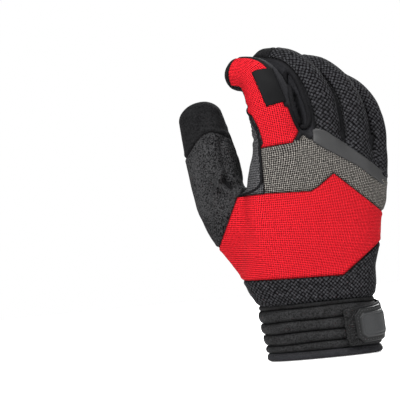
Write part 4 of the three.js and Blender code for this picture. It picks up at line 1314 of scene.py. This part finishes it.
def pad_height(p, q, edge):
    """Cover 1.1 mm high with sewn channels 1.5 and 4.4 mm in from its edge, and foam pads crowned
    above it, which fall away to their outlines over 5 mm."""
    height = 1.1 - 0.3 * bell(edge, PAD_ROWS[0], 0.5) - 0.45 * bell(edge, PAD_ROWS[1], 0.6)
    for outline in FOAM_OUTLINES.values():
        height += 2.9 * edge_round(outline_depth(outline, p[:, 0], p[:, 2]) + 0.8, 5.0)
    return height + 0.2 * lumps(p, 7, 11)


class GLOVE_OT_palm_pad(bpy.types.Operator):
    """Lays the padded cover with its three foam pads on the palm"""

    bl_idname = "glove.palm_pad"
    bl_label = "Palm pad"

    def execute(self, context):
        pad = lifted("palm_pad_cover", "palm_pad", pad_level, pad_height, "coated")
        return {"FINISHED"}


class GLOVE_OT_vent(bpy.types.Operator):
    """Binds the vent in the palm and lays the lining inside the glove"""

    bl_idname = "glove.vent"
    bl_label = "Vent and lining"

    def execute(self, context):
        course = spaced(eased(VENT_OUTLINE, 3, True), 0.7, True)[:-1]
        centre = course.mean(0)
        course = centre + (course - centre) * 1.12
        p, n = laid(course, 1, 0.35)
        ring, faces = tube_along(p, n, 1.25, 12, True)
        make("vent_binding_tape", ring, faces, "hem", ("vent_binding",))
        p, quads = net_over((*NET_LOW[:2], 38), NET_HIGH, 2.4, -2.6)
        p = relaxed(p, quads, 3)
        faces = np.concatenate([quads[:, [0, 2, 1]], quads[:, [0, 3, 2]]])
        (p, faces), _ = split(p, faces, p[:, 2] - 41.0)
        make("tricot_lining", p, faces, "lining", ())
        return {"FINISHED"}


def cuff_at(z):
    """Centre x, half width and half depth of the cuff's core at heights z."""
    share = z / CUFF_TOP
    return -0.7 - 3.3 * share, 37.6 + 1.2 * share, 25.4 + 0.2 * share


def cuff_point(angle, z, off):
    """Point on the cuff: rounded oval |x / w|^2.2 + |y / d|^2.2 = 1 grown by off, angle 0 at the
    back and 90 on the little finger's side."""
    x, width, depth = cuff_at(z)
    u, v = oval_point(np.radians(angle), width + off, -(depth + off), CUFF_SQUARENESS)
    return np.stack(np.broadcast_arrays(x + u, v, z), -1)


def slit_angle(z, edge):
    """Angle on the palm side at which the cuff's surface has the x of the slit's edge."""
    x, width, _ = cuff_at(z)
    share = np.clip((np.interp(z, *zip(*edge)) - x) / (width + 1.5), 0, 1)
    return 180 - np.degrees(np.arcsin(share ** 1.1))


def roll_profile(rows, bottom):
    """Heights and how far they stand out: each roll is proud (1 - |2s - 1|^2.1)^(1 / 2.1) over its
    own height, s from 0 to 1, sampled more closely in its grooves."""
    share = (1 - np.cos(np.linspace(0, math.pi, 17))) / 2
    z, off = [], []
    for height, proud in rows:
        keep = share[:-1]
        z.append(bottom + height * keep)
        off.append(proud * np.maximum(0, 1 - np.abs(2 * keep - 1) ** 2.1) ** (1 / 2.1) + 0.1)
        bottom += height
    return np.append(np.concatenate(z), bottom), np.append(np.concatenate(off), 0.15)


def cuff_slab(z, off, wave):
    """Wall of the cuff between the rolls outside and a smooth inside, open at the slit. Returns
    its points, faces and cloth coordinates, and (off / 2.8)^1.4, which is small in the grooves and sets
    the shade painted into them."""
    share = np.linspace(0, 1, 300)[None, :]
    z, off = z[:, None], off[:, None]
    start, end = slit_angle(z, SLIT_LEFT), slit_angle(z, SLIT_RIGHT) + 360
    angle = start + (end - start) * share
    fade = np.clip(np.minimum(z - z[0], z[-1] - z) / 4, 0, 1)
    sway = wave * fade * (np.sin(np.radians(angle * 2 + 40))
                          + 0.5 * np.sin(np.radians(angle * 5 + z * 9)))
    run = np.radians(angle) * CUFF_RADIUS
    where = np.stack(np.broadcast_arrays(run, z * 0.55, 0 * angle), -1).reshape(-1, 3)
    puff = 1 + 0.10 * lumps(where, 7.0, 31) + 0.05 * lumps(where, 2.6, 37)
    puff = puff.reshape(angle.shape)
    closing = np.clip(np.minimum(angle - start, end - angle) / 2.5, 0, 1)
    outer = cuff_point(angle, z + sway, off * puff * np.sqrt(1 - (1 - closing) ** 2 * 0.8))
    inner = cuff_point(angle, z + sway, -CUFF_WALL + 0 * angle)
    p, faces = slab(outer, inner)
    way = np.stack(np.broadcast_arrays(run, z), -1).reshape(-1, 2)
    # Painted shade: small in the grooves between the rolls, where the colour is darkened
    groove = np.tile(np.broadcast_to(off / 2.8, angle.shape).ravel() ** 1.4, 2)
    return p, outward(p, faces), np.concatenate([way, way]), groove


class GLOVE_OT_cuff(bpy.types.Operator):
    """Makes the ribbed cuff and its hem"""

    bl_idname = "glove.cuff"
    bl_label = "Cuff"

    def execute(self, context):
        z, off = roll_profile(ROLLS[1:], ROLLS[0][0] + 0.05)
        p, faces, way, groove = cuff_slab(z, off, 0.42)
        # groove darkens the jersey's colour in the grooves: painted shade
        make("cuff_rolls_jersey", p, faces, "neoprene", ("cuff_rolls",), way[faces],
             groove)
        z, off = roll_profile(ROLLS[:1], 0.0)
        off = off + 0.25 * bell(z, 1.6, 1.0) - 0.45 * bell(z, 4.3, 0.35)
        p, faces, way, _ = cuff_slab(z, off, 0.0)
        make("cuff_hem_binding", p, faces, "hem", ("cuff_hem",), way[faces])
        return {"FINISHED"}


def strap_point(angle, share, off):
    """Point on the strap's run: its middle height by angle, share of its half width, and distance
    above the rolls."""
    z = np.interp(angle, STRAP_ROWS[:, 0], STRAP_ROWS[:, 1]) + share * STRAP_HALF
    return cuff_point(angle, z, STRAP_CLEAR + off)


def strap_piece(name, node, material, angle, share, off, under=0.0, edge=None):
    """Piece of the strap between two distances above the rolls."""
    p, faces = slab(strap_point(angle, share, off), strap_point(angle, share, under + 0 * off))
    way = np.stack([np.radians(angle) * STRAP_RADIUS, share * STRAP_HALF], -1).reshape(-1, 2)
    faces = outward(p, faces)
    seam = None if edge is None else np.tile(edge.ravel(), 2)
    return make(name, p, faces, material, (node,), np.tile(way, (2, 1))[faces], seam)


def sheet(columns, rows):
    """Grid of u along and v across, both from 0 to 1."""
    return np.meshgrid(np.linspace(0, 1, columns), np.linspace(0, 1, rows))


def from_ends(u, v, length, width):
    """Distance from the nearest of the four edges of a sheet of that size."""
    return np.minimum(np.minimum(v, 1 - v) * width, np.minimum(u, 1 - u) * length)


def palm_end(v):
    """Angle of the strap's slanting end on the palm side."""
    return 180 - 22 * v


def hexagon(u):
    """Half width of the tab on the back, as a share of the strap's."""
    return np.minimum(1, TAB_NARROW + 2.6 * np.minimum(u, 1 - u)) * TAB_SHARE


class GLOVE_OT_strap(bpy.types.Operator):
    """Makes the closing strap, its rough end and its two moulded tabs"""

    bl_idname = "glove.strap"
    bl_label = "Strap"

    def execute(self, context):
        u, v = sheet(240, 41)
        angle = STRAP_START + (palm_end(v) - STRAP_START) * u
        edge = from_ends(u, v, STRAP_LENGTH, STRAP_WIDTH)
        off = 0.35 + (STRAP_THICK - 0.35) * edge_round(edge, 0.9) - 0.25 * bell(edge, 2.4, 0.35)
        strap_piece("wrist_strap_webbing", "wrist_strap", "strap", angle, 2 * v - 1, off)

        # Hook tape: rough on top and ragged at its free end
        u, v = sheet(60, 90)
        angle = HOOK_START + (HOOK_END - HOOK_START) * u
        edge = np.minimum(np.minimum(v, 1 - v) * STRAP_WIDTH, u * 9)
        share = (2 * v - 1) * (0.98 - 0.16 * (1 - np.clip(u * 3.5, 0, 1)) ** 2)
        base = strap_point(angle, share, 0 * u).reshape(-1, 3)
        rough = lumps(base, 0.7, 21).reshape(u.shape)
        off = 0.3 + 1.2 * edge_round(edge, 1.0) + 0.7 * rough * np.clip(edge / 0.8, 0.3, 1)
        ragged = 0.9 * lumps(base, 0.9, 8).reshape(u.shape) * (1 - np.clip(u * 4, 0, 1))
        strap_piece("strap_hook_tape", "strap_hook_end", "hook", angle + ragged, share,
                    off)

        # Tab on the back: a six-sided plate with a raised, grooved middle
        u, v = sheet(120, 81)
        share = hexagon(u) * (2 * v - 1)
        half = TAB_SHARE * STRAP_HALF
        run = [at * TAB_LENGTH for at in (0, TAB_SLOPE, 1 - TAB_SLOPE, 1)]
        side = [at * half for at in (TAB_NARROW, 1, 1, TAB_NARROW)]
        plan = list(zip(run, side)) + list(zip(run[::-1], [-at for at in side]))
        edge = np.maximum(outline_depth(plan, u * TAB_LENGTH, share * STRAP_HALF), 0)
        edge[:, [0, -1]] = 0
        edge[[0, -1], :] = 0
        under = STRAP_THICK + 0.2
        plate = smooth(edge, 3.3, 3.8) * 1.2 - 0.25 * bell(edge, 5.2, 0.3)
        off = under + 0.3 + 1.1 * edge_round(edge, 1.0) + plate
        strap_piece("strap_back_tab", "strap_tab_back", "tab",
                    TAB_START + TAB_TURN * u, share, off, under, edge - 3.2)

        # Tab on the palm side: two ridges across it and a raised plate towards its end
        u, v = sheet(150, 61)
        run = u * PALM_TAB_LENGTH
        angle = PALM_TAB_START + (palm_end(v) - 5 - PALM_TAB_START) * u
        edge = from_ends(u, v, PALM_TAB_LENGTH, PALM_TAB_WIDTH)
        ridge = sum(smooth(2.0 - np.abs(run - at * PALM_TAB_LENGTH), 0.0, 0.8)
                    for at in (0.33, 0.45))
        plate = smooth(np.minimum(edge - 2.2, run - 0.52 * PALM_TAB_LENGTH), -0.4, 0.5)
        raised = np.maximum(ridge * edge_round(edge, 1.2), plate)
        off = under + 0.3 + 0.7 * edge_round(edge, 0.9) + 1.1 * raised
        strap_piece("strap_palm_tab", "strap_tab_palm", "tab", angle,
                    0.84 * (2 * v - 1), off, under, np.maximum(ridge, plate))
        return {"FINISHED"}


def loop_point(u, run_share, off):
    """Point on the pull loop: webbing down the palm side of the cuff, round a half turn at the hem
    and up again; off is the distance from its middle."""
    top, bottom, end, fold = LOOP["top"], LOOP["bottom"], LOOP["end"], LOOP["fold"]
    down = top - bottom - fold
    around = math.pi * fold
    run = (down + around + end - bottom - fold) * run_share
    turn = np.clip((run - down) / fold, 0, math.pi)
    z = np.where(run < down, top - run, bottom + fold - np.sin(turn) * (fold + off))
    z = np.where(run > down + around, bottom + fold + (run - down - around), z)
    out = fold - np.cos(turn) * (fold + off)
    x = LOOP["x"] + LOOP["half"] * (2 * u - 1)
    centre, width, depth = cuff_at(np.maximum(z, 0))
    grow = STRAP_CLEAR + LOOP["thick"] / 2
    reach = np.abs((x - centre) / (width + grow))
    y = (depth + grow) * (1 - reach ** CUFF_SQUARENESS) ** (1 / CUFF_SQUARENESS)
    return np.stack(np.broadcast_arrays(x, y + out, z), -1)


class GLOVE_OT_pull_loop(bpy.types.Operator):
    """Makes the webbing loop on the palm side of the cuff"""

    bl_idname = "glove.pull_loop"
    bl_label = "Pull loop"

    def execute(self, context):
        u, v = sheet(31, 260)
        edge = from_ends(u, v, LOOP_WIDTH, LOOP_LENGTH)
        rib = 0.06 * (np.sin(v * LOOP_LENGTH * math.pi / RIB_PITCH)
                      * np.sin(u * LOOP_WIDTH * math.pi / RIB_PITCH))
        half = 0.12 + 0.43 * edge_round(edge, 0.5)
        p, faces = slab(loop_point(u, v, half + rib), loop_point(u, v, -half + rib))
        way = np.tile(np.stack([u * LOOP_WIDTH, v * LOOP_LENGTH], -1).reshape(-1, 2), (2, 1))
        faces = outward(p, faces)
        make("pull_loop_webbing", p, faces, "webbing", ("pull_loop",), way[faces])
        return {"FINISHED"}


def thread_on(point, one, two, off, step=1.0):
    """Course on the cuff, strap or loop at two coordinates and a distance off: its points and the
    direction in which that distance grows by the step."""
    p = point(one, two, off)
    return p, unit(point(one, two, off + step) - p)


def inner_course(outline, by):
    """Outline moved inwards by a distance, its corners on their bisectors."""
    corners = np.array(outline, float)
    before = unit(corners - np.roll(corners, 1, 0))
    after = unit(np.roll(corners, -1, 0) - corners)
    side = unit(before + after)[:, ::-1] * [1, -1]
    normal = before[:, ::-1] * [1, -1]
    mitre = np.maximum((side * normal).sum(1, keepdims=True), 0.45)
    moved = corners + side * by / mitre
    if outline_depth(outline, moved[:, 0], moved[:, 1]).mean() < 0:
        moved = corners - side * by / mitre
    return moved


class GLOVE_OT_stitching(bpy.types.Operator):
    """Sews the seams: threads along the pad, a seam by the thumb, the finger seams, the hem, the strap
    and the pull loop, and piping at the index finger
    """

    bl_idname = "glove.stitching"
    bl_label = "Stitching"

    def execute(self, context):
        dark, grey = [], []
        for by in PAD_ROWS:
            course = spaced(softened(inner_course(PAD_OUTLINE, by)), 0.8, True)
            grey.append(laid(course, 1, 0.95))
        dark.append(laid(spaced([(-69.4, 84.5), (-54.6, 117.6)], 0.8), -1, 0.25))
        # Finger seams: one row beside each seam of the back panels that is sewn through
        for name, (low, high) in BACK_SEAMS.items():
            start = at_height(name, WEB_HEIGHT.get(name, 146) + 4)
            end = TUBES[name]["length"] - SEAM_TO_TIP[name]
            for angle in (low + 5,) if name == "index" else (low + 5, high - 5):
                dark.append(finger_course(name, angle, start, end, 0.22))
        # Hem: one row all round
        z = 4.35
        angle = np.linspace(slit_angle(z, SLIT_LEFT) + 2, slit_angle(z, SLIT_RIGHT) + 358, 500)
        dark.append(thread_on(cuff_point, angle, z, 2.05))
        # Strap: rows along its edges, round the tab and across the hook tape
        for share, end in ((-0.82, 176), (0.82, 172)):
            angle = np.linspace(HOOK_END, end, 200)
            dark.append(thread_on(strap_point, angle, share, STRAP_THICK - 0.05))
        frame_line = [(0.055, 0.55), (0.165, 0.86), (0.835, 0.86), (0.945, 0.55), (0.945, -0.55),
                      (0.835, -0.86), (0.165, -0.86), (0.055, -0.55), (0.055, 0.55)]
        line = spaced(frame_line, 0.012)
        grey.append(thread_on(strap_point, TAB_START + TAB_TURN * line[:, 0],
                              TAB_SHARE * line[:, 1], STRAP_THICK + 1.45))
        for angle in (24.5, 30.5):
            dark.append(thread_on(strap_point, angle, np.linspace(-0.85, 0.85, 60),
                                  STRAP_THICK + 0.25))
        # Pull loop: a boxed cross
        box = [(0.12, 0.03), (0.88, 0.03), (0.88, 0.20), (0.12, 0.20), (0.12, 0.03), (0.88, 0.20),
               (0.88, 0.03), (0.12, 0.20)]
        for one, two in zip(box[:-1], box[1:]):
            u, v = np.linspace(one, two, 30).T
            dark.append(thread_on(loop_point, u, v, -0.62, -1.0))
        size = cloth()
        p, faces = stitches(dark, size.stitch, 0.8, size.thread)
        make("seam_threads", p, faces, "thread", ())
        p, faces = stitches(grey, 1.7, 0.7, size.thread)
        make("strap_threads", p, faces, "light_thread", ())
        # Piping between the side strip and the panels of the back
        course = spaced(eased([(-50.5, 117.2), (-43.0, 118.4), (-36.0, 121.5), (-33.4, 128.0),
                               (-33.3, 146.0), (-32.6, 152.0), (-33.6, 160.5), (-36.6, 169.0),
                               (-39.6, 178.0)], 2), 0.8)
        p, n = laid(course, -1, 0.1)
        p, faces = tube_along(p, n, 0.95, 10)
        make("index_piping", p, faces, "piping", ())
        # Rolled edge round the hollow between the index and the middle finger
        course = spaced(eased([(-9.5, 201.3), (-9.2, 189.1), (-8.7, 178.2), (-6.6, 168.6), (-4.2, 162.0),
                               (-0.4, 159.4), (3.0, 161.6), (3.6, 168.4), (2.4, 175.6), (0.4, 183.5),
                               (-2.1, 192.4), (-5.5, 199.4)], 2, True), 0.7, True)[:-1]
        p, n = laid(course, -1, 1.0)
        for _ in range(6):
            p = (np.roll(p, 1, 0) + 2 * p + np.roll(p, -1, 0)) / 4
            n = unit(np.roll(n, 1, 0) + 2 * n + np.roll(n, -1, 0))
        p, faces = tube_along(p, n, 1.75, 12, True)
        make("crotch_piping", p, faces, "piping", ())
        return {"FINISHED"}


class GLOVE_OT_stage(bpy.types.Operator):
    """Sets the floor, lights, world and camera"""

    bl_idname = "glove.stage"
    bl_label = "Stage"

    def execute(self, context):
        scene = context.scene
        mesh = bpy.data.meshes.new("floor")
        turn = np.linspace(0, 2 * math.pi, 65)[:-1]
        edge = [(1.6 * math.cos(a), 1.6 * math.sin(a), -0.0006) for a in turn]
        mesh.from_pydata(edge, [], [tuple(range(64))])
        floor = bpy.data.objects.new("floor", mesh)
        mesh.materials.append(MATERIALS["paper"])
        scene.collection.objects.link(floor)

        world = bpy.data.worlds.new("studio")
        world.use_nodes = True
        # White to look at, a tenth as bright as a light
        background = world.node_tree.nodes["Background"]
        background.inputs["Color"].default_value = (1, 1, 1, 1)
        path = add(world.node_tree, "ShaderNodeLightPath")
        strength = add(world.node_tree, "ShaderNodeMapRange", {
            "Value": path.outputs["Is Camera Ray"], "To Min": 0.1, "To Max": 1.0})
        world.node_tree.links.new(strength.outputs[0], background.inputs["Strength"])
        scene.world = world
        middle = Vector((-0.02, 0.01, 0.11))
        for name, place, size, power in (("key", (-0.85, -1.0, 1.0), 0.45, 22.0),
                                         ("top", (0.1, -0.45, 1.3), 0.5, 19.0),
                                         ("side", (1.1, -0.4, 0.35), 0.6, 3.0),
                                         ("rear", (0.5, 1.3, 0.9), 0.7, 16.0)):
            data = bpy.data.lights.new(name, "AREA")
            data.size, data.energy = size, power
            light = bpy.data.objects.new(name, data)
            light.location = place
            light.rotation_euler = (Vector(place) - middle).to_track_quat("Z", "Y").to_euler()
            scene.collection.objects.link(light)

        data = bpy.data.cameras.new("camera")
        distance, width = 2.4, 0.28
        data.lens, data.sensor_width = 36.0 * distance / width, 36.0
        data.clip_end = 20
        camera = bpy.data.objects.new("camera", data)
        roll = math.radians(5.46)
        camera.matrix_world = Matrix((
            (math.cos(roll), math.sin(roll), 0, -0.0778),
            (0, 0, -1, 0.008 - distance),
            (-math.sin(roll), math.cos(roll), 0, 0.1168),
            (0, 0, 0, 1)))
        scene.collection.objects.link(camera)
        scene.camera = camera
        scene.view_settings.view_transform = "Standard"
        return {"FINISHED"}


STEPS = (GLOVE_OT_materials, GLOVE_OT_panels, GLOVE_OT_patches, GLOVE_OT_palm_pad, GLOVE_OT_vent,
         GLOVE_OT_cuff, GLOVE_OT_strap, GLOVE_OT_pull_loop, GLOVE_OT_stitching, GLOVE_OT_stage)


class GLOVE_PT_panel(bpy.types.Panel):
    """Lists the sizes, colours and steps of the glove"""

    bl_idname = "GLOVE_PT_panel"
    bl_label = "Glove"
    bl_space_type = "VIEW_3D"
    bl_region_type = "UI"
    bl_category = "Glove"

    def draw(self, context):
        for group in (context.scene.glove_cloth, context.scene.glove_colours):
            for name in type(group).__annotations__:
                self.layout.prop(group, name)
        for step in STEPS:
            self.layout.operator(step.bl_idname)


CLASSES = (GloveCloth, GloveColours, *STEPS, GLOVE_PT_panel)


def register():
    for cls in CLASSES:
        bpy.utils.register_class(cls)
    bpy.types.Scene.glove_cloth = bpy.props.PointerProperty(type=GloveCloth)
    bpy.types.Scene.glove_colours = bpy.props.PointerProperty(type=GloveColours)


def unregister():
    del bpy.types.Scene.glove_cloth
    del bpy.types.Scene.glove_colours
    for cls in reversed(CLASSES):
        bpy.utils.unregister_class(cls)


def main():
    """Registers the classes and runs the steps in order."""
    register()
    for step in STEPS:
        group, name = step.bl_idname.split(".")
        getattr(getattr(bpy.ops, group), name)()


if __name__ == "__main__":
    main()
